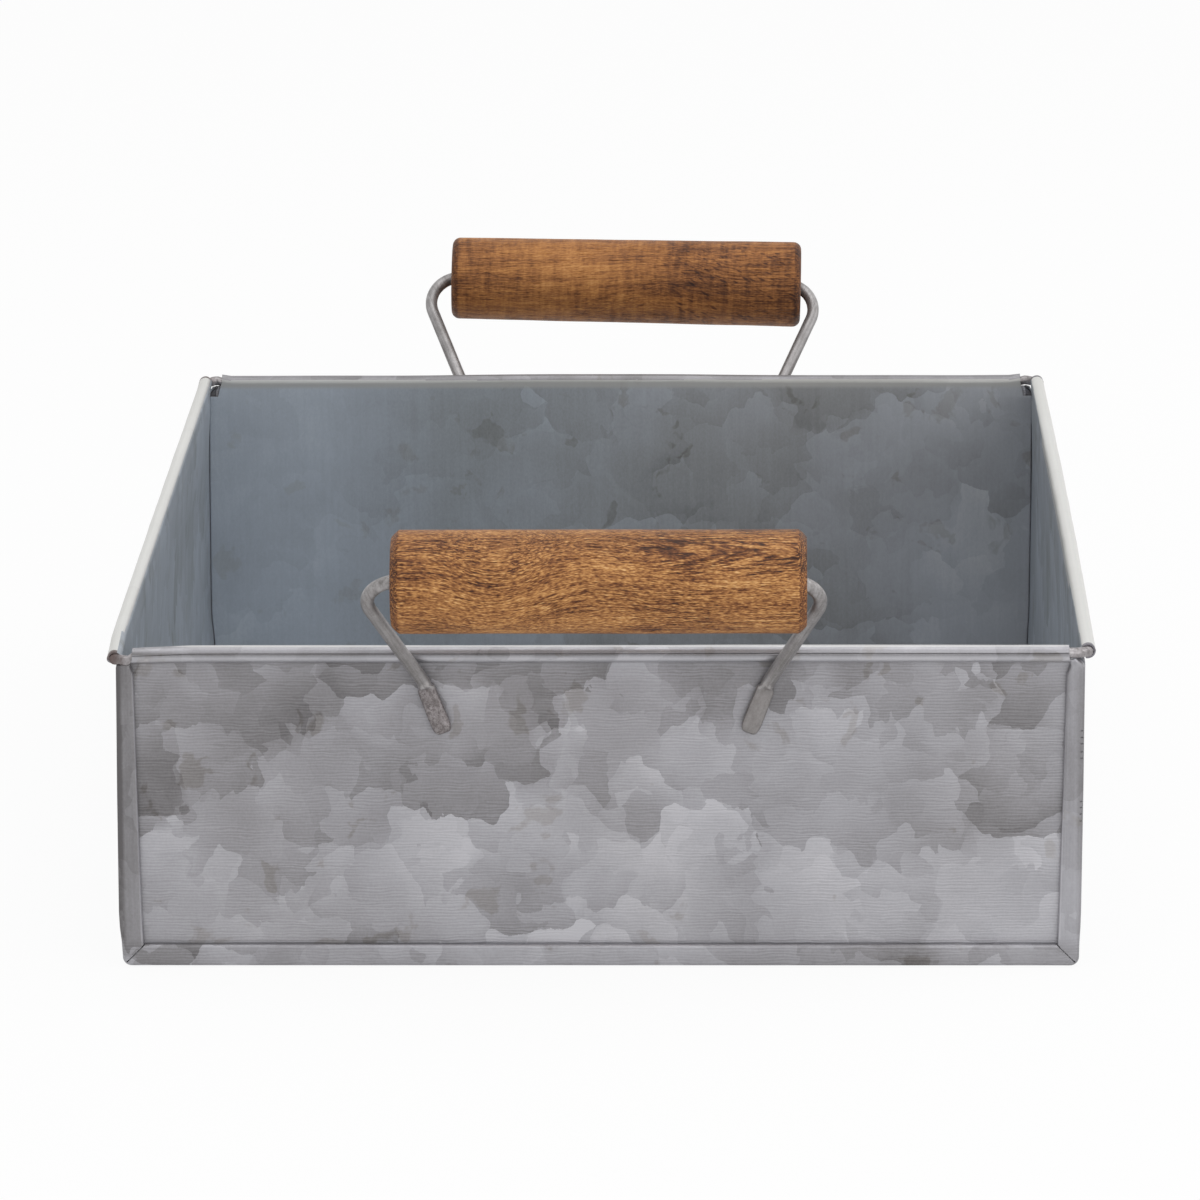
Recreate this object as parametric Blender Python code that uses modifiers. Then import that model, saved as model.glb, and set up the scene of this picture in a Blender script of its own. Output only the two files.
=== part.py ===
"""Galvanized steel serving tray with two bent wire handles and turned wooden grips.

The tray stands on z = 0 with its length along Y. One U-shaped sheet makes the bottom and both long sides.
Each end is closed by a panel, locked to the U-shaped sheet by a double seam that lies flat on the end's
outer face. All four top edges are rolled outward over one continuous rim wire, which shows at the corners.
"""

import math

import bmesh
import bpy
from mathutils import Matrix, Vector

MM = 0.001

# Tray
BODY_WIDTH = 254 * MM  # across the outer faces of the long sides
BODY_LENGTH = 356 * MM  # across the outer faces of the end seams
WALL_HEIGHT = 87.6 * MM  # from the table to the top of the rolled rim
SHEET = 0.45 * MM
FOLD_GAP = 0.25 * MM  # clear space between folded layers of sheet
CORNER_RADIUS = 2.5 * MM  # outer radius of the bend between bottom and side

# Double seam on the end faces
SEAM_WIDTH = 6.0 * MM  # along the bottom and at the lower corners
SEAM_TAPER = 1.4 * MM  # how much narrower the upright seams are at the top
SEAM_BEND = 0.9 * MM  # middle of the sheet, where a long side turns onto the end face
SEAM_END_LENGTH = 3.6 * MM  # height over which a seam narrows to pass beside the end of a roll
SEAM_END_TUCK = 0.7 * MM  # how far the seam's outer edge leans in at its top
SEAM_DRAW = 0.1 * MM  # how far the sheet's edges are drawn in where they turn into the seams
HOOK_LENGTH = 2.1 * MM
FLANGE_CLEARANCE = 0.5 * MM  # from the end panel's flange edge to the fold around it
MITRE_KERF = 0.3 * MM

# Rolled rim and the wire inside it
RIM_WIRE = 2.8 * MM
ROLL_GAP = 0.3 * MM  # clear space between the wire and the roll round it
RIM_NECK = 0.15 * MM  # how far the wall is set inward below the roll
RIM_NECK_DROP = 6.2 * MM  # where the neck starts, below the rim's top
RIM_NECK_RISE = 1.6 * MM
RIM_GROOVE_ANGLE = 6  # degrees round the wire, from level, of the groove along the roll
RIM_GROOVE_SPREAD = 7  # degrees from the groove to its upper and lower lip
RIM_GROOVE_DEPTH = 0.1 * MM
RIM_EDGE_ANGLE = -108  # where the roll ends
RIM_LIP_FLARE = 0.3 * MM  # how far the roll's edge stands out below the groove
RIM_WIRE_BEND = 2.2 * MM  # middle of the wire, at the tray's corners
RIM_TO_SEAM = 0.3 * MM  # clear space from the top end of a seam to the wire above and the roll beside it
SIDE_ROLL_SETBACK = 1.2 * MM  # from the end panel's outer face to the end of a side's roll
RELIEF_SLIT = 0.6 * MM
END_NOTCH_WIDTH = 3.4 * MM

# Wire handles, measured from an end panel's outer face and from the rim's top
HANDLE_WIRE = 3.6 * MM
HANDLE_AXIS_OUT = 30.9 * MM
HANDLE_AXIS_UP = 24.2 * MM
HANDLE_BEND_INSIDE = 4.1 * MM  # how far inside the grip's ends the wire starts to bend
HANDLE_SHOULDER_BEND = 9.2 * MM
LEG_SPREAD = 17.6 * MM  # how much wider the handle is at its shoulders than at its knees, on each side
HANDLE_KNEE_DOWN = 9.6 * MM  # where a leg leaves the panel
HANDLE_KNEE_BEND = 4.0 * MM
TAB_SPREAD = 5.5 * MM  # how much wider it is at the knee than at the foot of a tab, on each side
TAB_FOOT_DOWN = 23.8 * MM
TAB_THICKNESS = 2.4 * MM
TAB_WIDTH = 5.1 * MM
TAB_STEP = 0.5 * MM  # length over which the round wire is pressed flat
TAB_TO_PANEL = 0.3 * MM
TAB_END = ((0.08, 0.8), (0.25, 0.95), (0.5, 1.0))  # height above the foot and width, in TAB_WIDTHs
FRONT_HANDLE_ASIDE = -0.8 * MM
FRONT_GRIP_ASIDE = 1.5 * MM  # each grip has slid along its wire
BACK_HANDLE_TILT = math.radians(1.2)  # the back handle sits slightly askew
BACK_HANDLE_ASIDE = 0.2 * MM
BACK_GRIP_ASIDE = 1.1 * MM

# Wooden grips
FRONT_GRIP_LENGTH = 107.3 * MM
FRONT_GRIP_DIAMETER = 26.9 * MM
BACK_GRIP_LENGTH = 108.5 * MM
BACK_GRIP_DIAMETER = 25.8 * MM
GRIP_EDGE = 2.4 * MM
BORE_CLEARANCE = 0.5 * MM  # round the wire, on the radius
GRIP_TO_WIRE = 0.3 * MM  # clear height between the wire and the top of the bore that hangs on it
MOUTH_CLEARANCE = 0.6 * MM  # from the wire's bend to the countersunk mouth of the bore
MOUTH_DEPTH_ALLOWANCE = 1.0 * MM

# Smoothness of curved surfaces
ROLL_STEPS = 12
LIP_STEPS = 6
SEAM_END_STEPS = 3
FOLD_STEPS = 8
BEND_STEPS = 4
CORNER_STEPS = 5
WIRE_SIDES = 14
GRIP_STEPS = 40
EDGE_STEPS = 4

# Layers of the seam, as distances of each sheet's middle outward from the end panel's outer face
LAYER = SHEET + FOLD_GAP
PANEL_OUT = -SHEET / 2
HOOK_OUT = PANEL_OUT + LAYER
FLANGE_OUT = HOOK_OUT + LAYER
COVER_OUT = FLANGE_OUT + LAYER
SEAM_THICKNESS = COVER_OUT + SHEET / 2
FOLD_RADIUS = LAYER  # middle of the sheet where it folds back over one layer
PANEL_FACE = BODY_LENGTH / 2 - SEAM_THICKNESS  # outer face of an end panel, from the tray's centre

# Distances inward from the outer face of the bottom or of a long side
COVER_IN = SHEET / 2 + SEAM_BEND
COVER_FOLD_IN = SEAM_WIDTH - SHEET / 2 - FOLD_RADIUS
HOOK_EDGE_IN = COVER_FOLD_IN - HOOK_LENGTH
FLANGE_EDGE_IN = COVER_FOLD_IN + FOLD_RADIUS - SHEET / 2 - FLANGE_CLEARANCE
FLANGE_FOLD_IN = SEAM_DRAW + SHEET + FOLD_GAP + SHEET / 2 + FOLD_RADIUS

# Rim, as distances outward from a wall's outer face and down from the rim's top
ROLL_RADIUS = RIM_WIRE / 2 + ROLL_GAP + SHEET / 2
RIM_WIRE_OUT = -SHEET / 2 - RIM_NECK + ROLL_RADIUS
RIM_WIRE_DOWN = ROLL_RADIUS + SHEET / 2
ROLL_BOTTOM = WALL_HEIGHT - RIM_WIRE_DOWN - ROLL_RADIUS - RIM_LIP_FLARE - SHEET / 2
SEAM_TOP = WALL_HEIGHT - RIM_WIRE_DOWN - RIM_WIRE / 2 - RIM_TO_SEAM
SEAM_NARROWED = ROLL_BOTTOM - RIM_TO_SEAM  # height above which a seam is at its narrowest
SEAM_END_NARROWING = SEAM_WIDTH - SEAM_TAPER - (END_NOTCH_WIDTH - RIM_TO_SEAM)
NECK_START = WALL_HEIGHT - RIM_NECK_DROP

# Handle wire and the grip on it
WIRE_OUT = TAB_TO_PANEL + HANDLE_WIRE / 2  # middle of the wire from the panel's face, at the knee
TAB_OUT = TAB_TO_PANEL + TAB_THICKNESS / 2
LEG = Vector((LEG_SPREAD, HANDLE_AXIS_OUT - WIRE_OUT, HANDLE_AXIS_UP + HANDLE_KNEE_DOWN))
SHOULDER_HALF_ANGLE = math.acos(LEG.x / LEG.length) / 2
SHOULDER_OUT = HANDLE_SHOULDER_BEND / math.tan(SHOULDER_HALF_ANGLE) - HANDLE_BEND_INSIDE
GRIP_BORE = HANDLE_WIRE + 2 * BORE_CLEARANCE
GRIP_DROP = BORE_CLEARANCE - GRIP_TO_WIRE

GALVANIZED = ("galvanized_sheet", (0.50, 0.51, 0.53, 1), 0.42, 0.85)
WIRE_STEEL = ("wire_steel", (0.46, 0.46, 0.45, 1), 0.38, 0.9)
WOOD = ("grip_wood", (0.42, 0.21, 0.08, 1), 0.55, 0.0)


def clear_scene():
    for obj in list(bpy.data.objects):
        bpy.data.objects.remove(obj)


def new_collection(name, hidden=False):
    collection = bpy.data.collections.new(name)
    collection.hide_render = hidden
    bpy.context.scene.collection.children.link(collection)
    return collection


def material(name, colour, roughness, metallic):
    found = bpy.data.materials.get(name)
    if found:
        return found
    made = bpy.data.materials.new(name)
    made.use_nodes = True
    shader = made.node_tree.nodes["Principled BSDF"]
    shader.inputs["Base Color"].default_value = colour
    shader.inputs["Roughness"].default_value = roughness
    shader.inputs["Metallic"].default_value = metallic
    made.diffuse_color = colour
    return made


def add_object(collection, name, data, finish=None, parent=None):
    obj = bpy.data.objects.new(name, data)
    if finish and not data.materials:
        data.materials.append(material(*finish))
    obj.parent = parent
    collection.objects.link(obj)
    return obj


def arc(centre, radius, start, end, steps):
    """Points of an arc in a plane, from angle start to angle end, in degrees."""
    angles = [math.radians(start + (end - start) * i / steps) for i in range(steps + 1)]
    return [(centre[0] + radius * math.cos(a), centre[1] + radius * math.sin(a)) for a in angles]


class OpenSurface:
    """Collects faces by their corner points; corners in one place become one vertex."""

    def __init__(self):
        self.points = {}
        self.faces = []

    def corner(self, point):
        key = tuple(round(value / (0.001 * MM)) for value in point)
        return self.points.setdefault(key, (len(self.points), tuple(point)))[0]

    def face(self, *corners):
        ring = []
        for point in corners:
            index = self.corner(point)
            if index not in ring:
                ring.append(index)
        if len(ring) > 2:
            self.faces.append(ring)

    def strip(self, first, second):
        """Joins two rows of as many points each."""
        for i in range(len(first) - 1):
            self.face(first[i], first[i + 1], second[i + 1], second[i])

    def mesh(self, name):
        made = bpy.data.meshes.new(name)
        made.from_pydata([point for _, point in self.points.values()], [], self.faces)
        sheet = bmesh.new()
        sheet.from_mesh(made)
        bmesh.ops.recalc_face_normals(sheet, faces=sheet.faces)
        sheet.to_mesh(made)
        sheet.free()
        return made


def thicken(obj):
    solid = obj.modifiers.new("Sheet thickness", "SOLIDIFY")
    solid.thickness = SHEET
    solid.offset = 0
    solid.use_even_offset = True
    solid.use_quality_normals = True


def smooth(obj, angle=35):
    obj.data.shade_smooth()
    obj.data.set_sharp_from_angle(angle=math.radians(angle))


def roll_profile():
    """Middle of a rolled rim's sheet above the start of its neck, as (outward, height)."""
    axis = (RIM_WIRE_OUT, WALL_HEIGHT - RIM_WIRE_DOWN)
    inner = RIM_WIRE_OUT - ROLL_RADIUS
    neck_top = NECK_START + RIM_NECK_RISE
    points = [
        (-SHEET / 2, NECK_START),
        (inner + RIM_NECK * 0.85, NECK_START + RIM_NECK_RISE * 0.2),
        (inner + RIM_NECK * 0.15, NECK_START + RIM_NECK_RISE * 0.8),
        (inner, neck_top),
    ]
    points += arc(axis, ROLL_RADIUS, 180, RIM_GROOVE_ANGLE + RIM_GROOVE_SPREAD, ROLL_STEPS)
    points += arc(axis, ROLL_RADIUS - RIM_GROOVE_DEPTH, RIM_GROOVE_ANGLE, RIM_GROOVE_ANGLE, 1)[:1]
    lip_start = RIM_GROOVE_ANGLE - RIM_GROOVE_SPREAD
    points += arc(axis, ROLL_RADIUS + RIM_LIP_FLARE, lip_start, RIM_EDGE_ANGLE, LIP_STEPS)
    return points


def seam_end_heights():
    """Heights of the rows that shape a seam's top end, from the top down."""
    steps = [i / SEAM_END_STEPS for i in range(SEAM_END_STEPS + 1)]
    heights = [SEAM_NARROWED - SEAM_END_LENGTH * step for step in steps]
    return sorted([SEAM_TOP, NECK_START, *heights], reverse=True)


def ease(height, low, high):
    """0 below one height and 1 above another, with a smooth curve between them."""
    share = min(max((height - low) / (high - low), 0), 1)
    return (1 - math.cos(math.pi * share)) / 2


def narrowing(height):
    """How much a seam's folds are set back towards the tray's corner at a height."""
    taper = SEAM_TAPER * min((height - CORNER_RADIUS) / (SEAM_NARROWED - CORNER_RADIUS), 1)
    return taper + SEAM_END_NARROWING * ease(height, SEAM_NARROWED - SEAM_END_LENGTH, SEAM_NARROWED)


def tuck(height):
    """How far a seam's outer edge is set in at a height."""
    return SEAM_DRAW + SEAM_END_TUCK * ease(height, NECK_START, SEAM_TOP)


def side_row(side, height):
    """Places a distance inward from one long side's outer face, at a height."""
    return lambda inward: (side * (BODY_WIDTH / 2 - inward), height)


def corner_row(side, degrees):
    """The same at the bend between side and bottom: 0 degrees at the side, 90 at the bottom."""
    turn = math.radians(degrees)

    def place(inward):
        if inward >= CORNER_RADIUS:
            return (side * (BODY_WIDTH / 2 - inward), inward)
        reach = CORNER_RADIUS - inward
        across = BODY_WIDTH / 2 - CORNER_RADIUS + reach * math.cos(turn)
        return (side * across, CORNER_RADIUS - reach * math.sin(turn))

    return place


def u_rows(heights):
    """Rows down one side, round the bottom and up the other, as (place, narrowing, tuck)."""
    turns = [90 * i / CORNER_STEPS for i in range(CORNER_STEPS + 1)]
    left = [(side_row(-1, z), narrowing(z), tuck(z)) for z in heights]
    left += [(corner_row(-1, turn), 0, SEAM_DRAW) for turn in turns]
    right = [(side_row(1, z), narrowing(z), tuck(z)) for z in heights]
    right += [(corner_row(1, turn), 0, SEAM_DRAW) for turn in turns]
    return left + right[::-1]


def cover_profile(narrow, lean):
    """The U-shaped sheet's seam, from its hooked edge to the long side, as (inward, outward)."""
    middle = (HOOK_OUT + COVER_OUT) / 2
    fold_in = COVER_FOLD_IN - narrow
    fold = arc((fold_in, middle), FOLD_RADIUS, -90, 90, FOLD_STEPS)
    hook_in = min(HOOK_EDGE_IN, fold_in - SHEET)
    bend = arc((COVER_IN + lean, COVER_OUT - SEAM_BEND), SEAM_BEND, 90, 180, BEND_STEPS)
    shoulder = [(min(CORNER_RADIUS, fold_in), COVER_OUT)]
    slit = (SHEET / 2 + lean, RELIEF_SLIT - SIDE_ROLL_SETBACK)
    return [(hook_in, HOOK_OUT)] + fold + shoulder + bend + [slit]


def flange_profile(narrow):
    """An end panel's flange, from its edge inside the seam to the panel, as (inward, outward)."""
    middle = (PANEL_OUT + FLANGE_OUT) / 2
    edge_in = FLANGE_EDGE_IN - narrow
    fold = arc((FLANGE_FOLD_IN, middle), FOLD_RADIUS, 90, 270, FOLD_STEPS)
    shoulder = [(min(CORNER_RADIUS, edge_in), FLANGE_OUT)]
    return [(edge_in, FLANGE_OUT)] + shoulder + fold + [(CORNER_RADIUS, PANEL_OUT)]


def body_sheet_mesh():
    """Middle surface of the U-shaped sheet: bottom, long sides, their rolls and both seams' covers."""
    surface = OpenSurface()

    def seam_points(row, end):
        place, narrow, lean = row
        profile = cover_profile(narrow, lean)
        return [(place(n)[0], end * (PANEL_FACE + out), place(n)[1]) for n, out in profile]

    def wall_points(row):
        x, z = row[0](SHEET / 2)
        return [(x, end * (PANEL_FACE - SIDE_ROLL_SETBACK), z) for end in (-1, 1)]

    heights = seam_end_heights()
    rows = u_rows(heights)
    for i in range(len(rows) - 1):
        for end in (-1, 1):
            surface.strip(seam_points(rows[i], end), seam_points(rows[i + 1], end))
    first = heights.index(NECK_START)
    walls = rows[first : len(rows) - first]
    across = [[seam_points(row, -1)[-1], *wall_points(row), seam_points(row, 1)[-1]] for row in walls]
    for i in range(len(across) - 1):
        surface.strip(across[i], across[i + 1])
    for side in (-1, 1):
        ends = [end * (PANEL_FACE - SIDE_ROLL_SETBACK) for end in (-1, 1)]
        roll = [[(side * (BODY_WIDTH / 2 + out), y, z) for y in ends] for out, z in roll_profile()]
        for i in range(len(roll) - 1):
            surface.strip(roll[i], roll[i + 1])
    return surface.mesh("body_sheet")


def make_body_sheet(collection, cutters):
    body = add_object(collection, "body_sheet", body_sheet_mesh(), GALVANIZED)
    thicken(body)
    smooth(body)
    for end in (-1, 1):
        for side in (-1, 1):
            cut = body.modifiers.new("Mitre", "BOOLEAN")
            cut.operation = "DIFFERENCE"
            cut.object = mitre_cutter(cutters, side, end)
    return body


def mitre_cutter(cutters, side, end):
    """A thin blade that parts the seam's cover along the diagonal of a lower corner."""
    near = COVER_IN
    far = SEAM_WIDTH + 2 * FOLD_GAP
    depth = SEAM_THICKNESS
    mesh = bpy.data.meshes.new("mitre_cutter")
    blade = bmesh.new()
    bmesh.ops.create_cube(blade, size=1)
    size = ((far - near) * math.sqrt(2), depth, MITRE_KERF)
    bmesh.ops.scale(blade, vec=size, verts=blade.verts)
    blade.to_mesh(mesh)
    blade.free()
    cutter = add_object(cutters, f"mitre_cutter_{side}_{end}", mesh)
    middle = (near + far) / 2
    out = PANEL_FACE + FOLD_GAP / 2 + depth / 2
    cutter.location = (side * (BODY_WIDTH / 2 - middle), end * out, middle)
    cutter.rotation_euler = (0, side * math.radians(45), 0)
    cutter.hide_render = True
    cutter.display_type = "WIRE"
    return cutter


def end_panel_mesh():
    """Middle surface of an end panel with its flange and its roll, as it stands at the front."""
    surface = OpenSurface()
    heights = seam_end_heights()
    rows = u_rows(heights[heights.index(NECK_START) :])

    def points(row):
        place, narrow, _ = row
        return [(place(n)[0], -(PANEL_FACE + out), place(n)[1]) for n, out in flange_profile(narrow)]

    for i in range(len(rows) - 1):
        surface.strip(points(rows[i]), points(rows[i + 1]))
    border = [points(row)[-1] for row in rows]
    half = BODY_WIDTH / 2 - END_NOTCH_WIDTH
    upper = [[(x, -(PANEL_FACE + out), z) for x in (-half, half)] for out, z in roll_profile()]
    surface.face(*border, *reversed(upper[0]))
    for i in range(len(upper) - 1):
        surface.strip(upper[i], upper[i + 1])
    return surface.mesh("end_panel")


def make_end_panels(collection):
    mesh = end_panel_mesh()
    for name, turn in (("front_end_panel", 0), ("back_end_panel", math.pi)):
        panel = add_object(collection, name, mesh, GALVANIZED)
        panel.rotation_euler = (0, 0, turn)
        thicken(panel)
    smooth(panel)


def make_rim_wire(collection):
    """One closed loop of wire inside all four rolls."""
    x = BODY_WIDTH / 2 + RIM_WIRE_OUT - RIM_WIRE_BEND
    y = PANEL_FACE + RIM_WIRE_OUT - RIM_WIRE_BEND
    loop = []
    for sx, sy, start in ((1, 1, 0), (-1, 1, 90), (-1, -1, 180), (1, -1, 270)):
        loop += arc((sx * x, sy * y), RIM_WIRE_BEND, start, start + 90, CORNER_STEPS)
    curve = bpy.data.curves.new("rim_wire", "CURVE")
    curve.dimensions = "3D"
    curve.bevel_depth = RIM_WIRE / 2
    curve.bevel_resolution = 4
    spline = curve.splines.new("POLY")
    spline.points.add(len(loop) - 1)
    for point, (px, py) in zip(spline.points, loop):
        point.co = (px, py, WALL_HEIGHT - RIM_WIRE_DOWN, 1)
    spline.use_cyclic_u = True
    return add_object(collection, "rim_wire", curve, WIRE_STEEL)


def rounded(before, corner, after, radius, steps):
    """Points of the arc that rounds a corner between two straight runs."""
    back, ahead = (before - corner).normalized(), (after - corner).normalized()
    half = back.angle(ahead) / 2
    inside = (back + ahead).normalized()
    centre = corner + inside * (radius / math.sin(half))
    first = corner + back * (radius / math.tan(half)) - centre
    last = corner + ahead * (radius / math.tan(half)) - centre
    axis = first.cross(last)
    sweep = first.angle(last)
    return [centre + Matrix.Rotation(sweep * i / steps, 3, axis) @ first for i in range(steps + 1)]


def handle_stations(grip_length):
    """Half of the wire bent for a grip, from its pressed foot to the middle of the grip.

    Each station is (centre, direction, half width, half thickness), with -Y outward and z = 0 at the
    rim's top.
    """
    wire = HANDLE_WIRE / 2
    shoulder_x = grip_length / 2 + SHOULDER_OUT
    knee_x = shoulder_x - LEG_SPREAD
    foot = Vector((TAB_SPREAD - knee_x, -TAB_OUT, -TAB_FOOT_DOWN))
    knee = Vector((-knee_x, -WIRE_OUT, -HANDLE_KNEE_DOWN))
    shoulder = Vector((-shoulder_x, -HANDLE_AXIS_OUT, HANDLE_AXIS_UP))
    middle = Vector((0, -HANDLE_AXIS_OUT, HANDLE_AXIS_UP))
    up = Vector((knee.x - foot.x, 0, knee.z - foot.z)).normalized()
    lower = rounded(knee - up * HANDLE_KNEE_BEND, knee, shoulder, HANDLE_KNEE_BEND, BEND_STEPS)
    upper = rounded(knee, shoulder, middle, HANDLE_SHOULDER_BEND, 3 * BEND_STEPS)
    step = lower[0] - up * TAB_STEP
    step.y = -TAB_OUT
    width, thickness = TAB_WIDTH / 2, TAB_THICKNESS / 2
    stations = [(foot, up, width * 0.55, thickness * 0.8)]
    stations += [(foot + up * TAB_WIDTH * share, up, width * wide, thickness) for share, wide in TAB_END]
    stations += [(step, up, width, thickness), (lower[0], up, wire, wire)]
    bends = lower[1:] + upper + [middle]
    for i, point in enumerate(bends):
        behind = point - (bends[i - 1] if i else lower[0])
        ahead = bends[min(i + 1, len(bends) - 1)] - point
        direction = (behind.normalized() + ahead.normalized()).normalized()
        stations.append((point, direction, wire, wire))
    return stations


def handle_wire_mesh(grip_length):
    """A loft along the stations, flat on its back where the wire is pressed onto the panel."""
    made = bmesh.new()
    rings = []
    flat = Vector((0, -1, 0))
    for centre, direction, half_width, half_thickness in handle_stations(grip_length):
        flat = (flat - direction * flat.dot(direction)).normalized()
        across = direction.cross(flat)
        ring = []
        for k in range(WIRE_SIDES):
            turn = 2 * math.pi * (k + 0.5) / WIRE_SIDES
            offset = across * (half_width * math.cos(turn)) + flat * (half_thickness * math.sin(turn))
            ring.append(made.verts.new(centre + offset))
        rings.append(ring)
    for first, second in zip(rings, rings[1:]):
        for k in range(WIRE_SIDES):
            after = (k + 1) % WIRE_SIDES
            made.faces.new((first[k], first[after], second[after], second[k]))
    made.faces.new(rings[0][::-1])
    bmesh.ops.recalc_face_normals(made, faces=made.faces)
    mesh = bpy.data.meshes.new("handle_wire")
    made.to_mesh(mesh)
    made.free()
    return mesh


def bore_mouth():
    """Radius and depth of the countersinks that clear the wire where it starts to bend inside the grip."""
    bent = HANDLE_BEND_INSIDE + max(FRONT_GRIP_ASIDE, BACK_GRIP_ASIDE)
    turn = math.asin(bent / HANDLE_SHOULDER_BEND)
    sink = HANDLE_SHOULDER_BEND * (1 - math.cos(turn))
    return sink + HANDLE_WIRE / 2 / math.cos(turn) + MOUTH_CLEARANCE, bent + MOUTH_DEPTH_ALLOWANCE


def grip_mesh(name, length, diameter):
    """Half outline of a bored cylinder with rounded ends, to be turned about X."""
    radius, half, bore = diameter / 2, length / 2, GRIP_BORE / 2
    mouth, depth = bore_mouth()
    outline = arc((half - GRIP_EDGE, radius - GRIP_EDGE), GRIP_EDGE, 0, 90, EDGE_STEPS)
    outline += [(-x, r) for x, r in reversed(outline)]
    outline += [(-half, mouth), (-half + depth, bore), (half - depth, bore), (half, mouth)]
    mesh = bpy.data.meshes.new(name)
    edges = [(i, (i + 1) % len(outline)) for i in range(len(outline))]
    mesh.from_pydata([(x, 0, r) for x, r in outline], edges, [])
    return mesh


def make_handles(collection):
    front = (FRONT_HANDLE_ASIDE, FRONT_GRIP_ASIDE, FRONT_GRIP_LENGTH, FRONT_GRIP_DIAMETER)
    back = (BACK_HANDLE_ASIDE, -BACK_GRIP_ASIDE, BACK_GRIP_LENGTH, BACK_GRIP_DIAMETER)
    ends = (("front", -1, 0, 0, *front), ("back", 1, math.pi, -BACK_HANDLE_TILT, *back))
    for name, end, turn, tilt, aside, slid, length, diameter in ends:
        base = add_object(collection, f"{name}_handle_place", None)
        base.location = (aside, end * PANEL_FACE, WALL_HEIGHT)
        base.rotation_euler = (0, tilt, turn)
        wire = add_object(collection, f"{name}_handle_wire", handle_wire_mesh(length), WIRE_STEEL, base)
        mirror = wire.modifiers.new("Other half", "MIRROR")
        mirror.merge_threshold = 0.01 * MM
        grip = add_object(collection, f"{name}_grip", grip_mesh(f"{name}_grip", length, diameter), WOOD, base)
        grip.location = (slid, -HANDLE_AXIS_OUT, HANDLE_AXIS_UP - GRIP_DROP)
        turned = grip.modifiers.new("Turned", "SCREW")
        turned.axis = "X"
        turned.steps = turned.render_steps = GRIP_STEPS
        turned.use_merge_vertices = True
        turned.merge_threshold = 0.01 * MM
        turned.use_smooth_shade = True
        smooth(wire)


def main():
    clear_scene()
    tray = new_collection("galvanized_tray")
    cutters = new_collection("cutters", hidden=True)
    make_body_sheet(tray, cutters)
    make_end_panels(tray)
    make_rim_wire(tray)
    make_handles(tray)


main()
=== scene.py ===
"""Looks of the galvanized tray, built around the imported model, in metres with +Z up."""

import math
from types import SimpleNamespace

import bmesh
import bpy
from mathutils import Matrix, Vector, noise


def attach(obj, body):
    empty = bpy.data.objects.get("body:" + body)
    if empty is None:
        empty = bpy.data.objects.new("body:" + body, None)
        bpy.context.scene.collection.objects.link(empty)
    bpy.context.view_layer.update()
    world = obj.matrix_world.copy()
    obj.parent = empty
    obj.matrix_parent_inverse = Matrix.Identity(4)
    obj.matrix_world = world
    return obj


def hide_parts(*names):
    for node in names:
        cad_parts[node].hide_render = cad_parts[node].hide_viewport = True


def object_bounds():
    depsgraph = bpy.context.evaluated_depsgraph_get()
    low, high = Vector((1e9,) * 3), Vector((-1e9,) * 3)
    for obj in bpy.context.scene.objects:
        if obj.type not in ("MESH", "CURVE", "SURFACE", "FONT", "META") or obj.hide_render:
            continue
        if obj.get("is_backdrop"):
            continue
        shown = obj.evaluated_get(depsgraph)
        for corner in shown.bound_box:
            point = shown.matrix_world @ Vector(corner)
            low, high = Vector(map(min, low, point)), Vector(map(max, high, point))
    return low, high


MM = 0.001

# View of the photo, which is 1200 pixels wide
FRAME_PIXELS = 1200
FOCAL_PIXELS = 7536
SENSOR_WIDTH = 36
CAMERA_PLACE = (0.037, -2.102, 0.552)
CAMERA_TURN = (-1.09, 13.22, -0.29)

# Studio light: name, place, aim, size in metres and power in watts of each lamp
WORLD_LIGHT = 0.62
FLOOR_WHITENESS = 0.93
LAMPS = (
    ("overhead", (0.1, -0.2, 1.7), (0, 0, 0), 1.6, 10),
    ("front_fill", (0.9, -1.7, 0.55), (0, 0, 0.05), 1.4, 9.5),
    ("right_fill", (1.6, 0.3, 0.9), (0, 0, 0.05), 1.0, 5),
)

# Tray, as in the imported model
BODY_WIDTH = 254 * MM
BODY_LENGTH = 356 * MM
WALL_HEIGHT = 87.6 * MM
SHEET = 0.45 * MM
FOLD_GAP = 0.25 * MM
CORNER_RADIUS = 2.5 * MM

# Double seam on the end faces
SEAM_WIDTH = 6.0 * MM
SEAM_TAPER = 1.4 * MM
SEAM_BEND = 0.9 * MM
SEAM_END_LENGTH = 3.6 * MM
SEAM_END_TUCK = 0.7 * MM
SEAM_DRAW = 0.1 * MM
HOOK_LENGTH = 2.1 * MM
FLANGE_CLEARANCE = 0.5 * MM
MITRE_KERF = 0.3 * MM

# Rolled rim and the wire inside it
RIM_WIRE = 2.8 * MM
ROLL_GAP = 0.3 * MM
RIM_NECK = 0.15 * MM
RIM_NECK_DROP = 6.2 * MM
RIM_NECK_RISE = 1.6 * MM
RIM_NECK_SPREAD = 40 * MM
RIM_GROOVE_ANGLE = 6
RIM_GROOVE_SPREAD = 9
RIM_GROOVE_DEPTH = 0.22 * MM
RIM_EDGE_ANGLE = -108
RIM_LIP_FLARE = 0.3 * MM
RIM_WIRE_BEND = 2.2 * MM
RIM_TO_SEAM = 0.3 * MM
SIDE_ROLL_SETBACK = 1.2 * MM
RELIEF_SLIT = 0.6 * MM
END_NOTCH_WIDTH = 3.4 * MM

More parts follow.
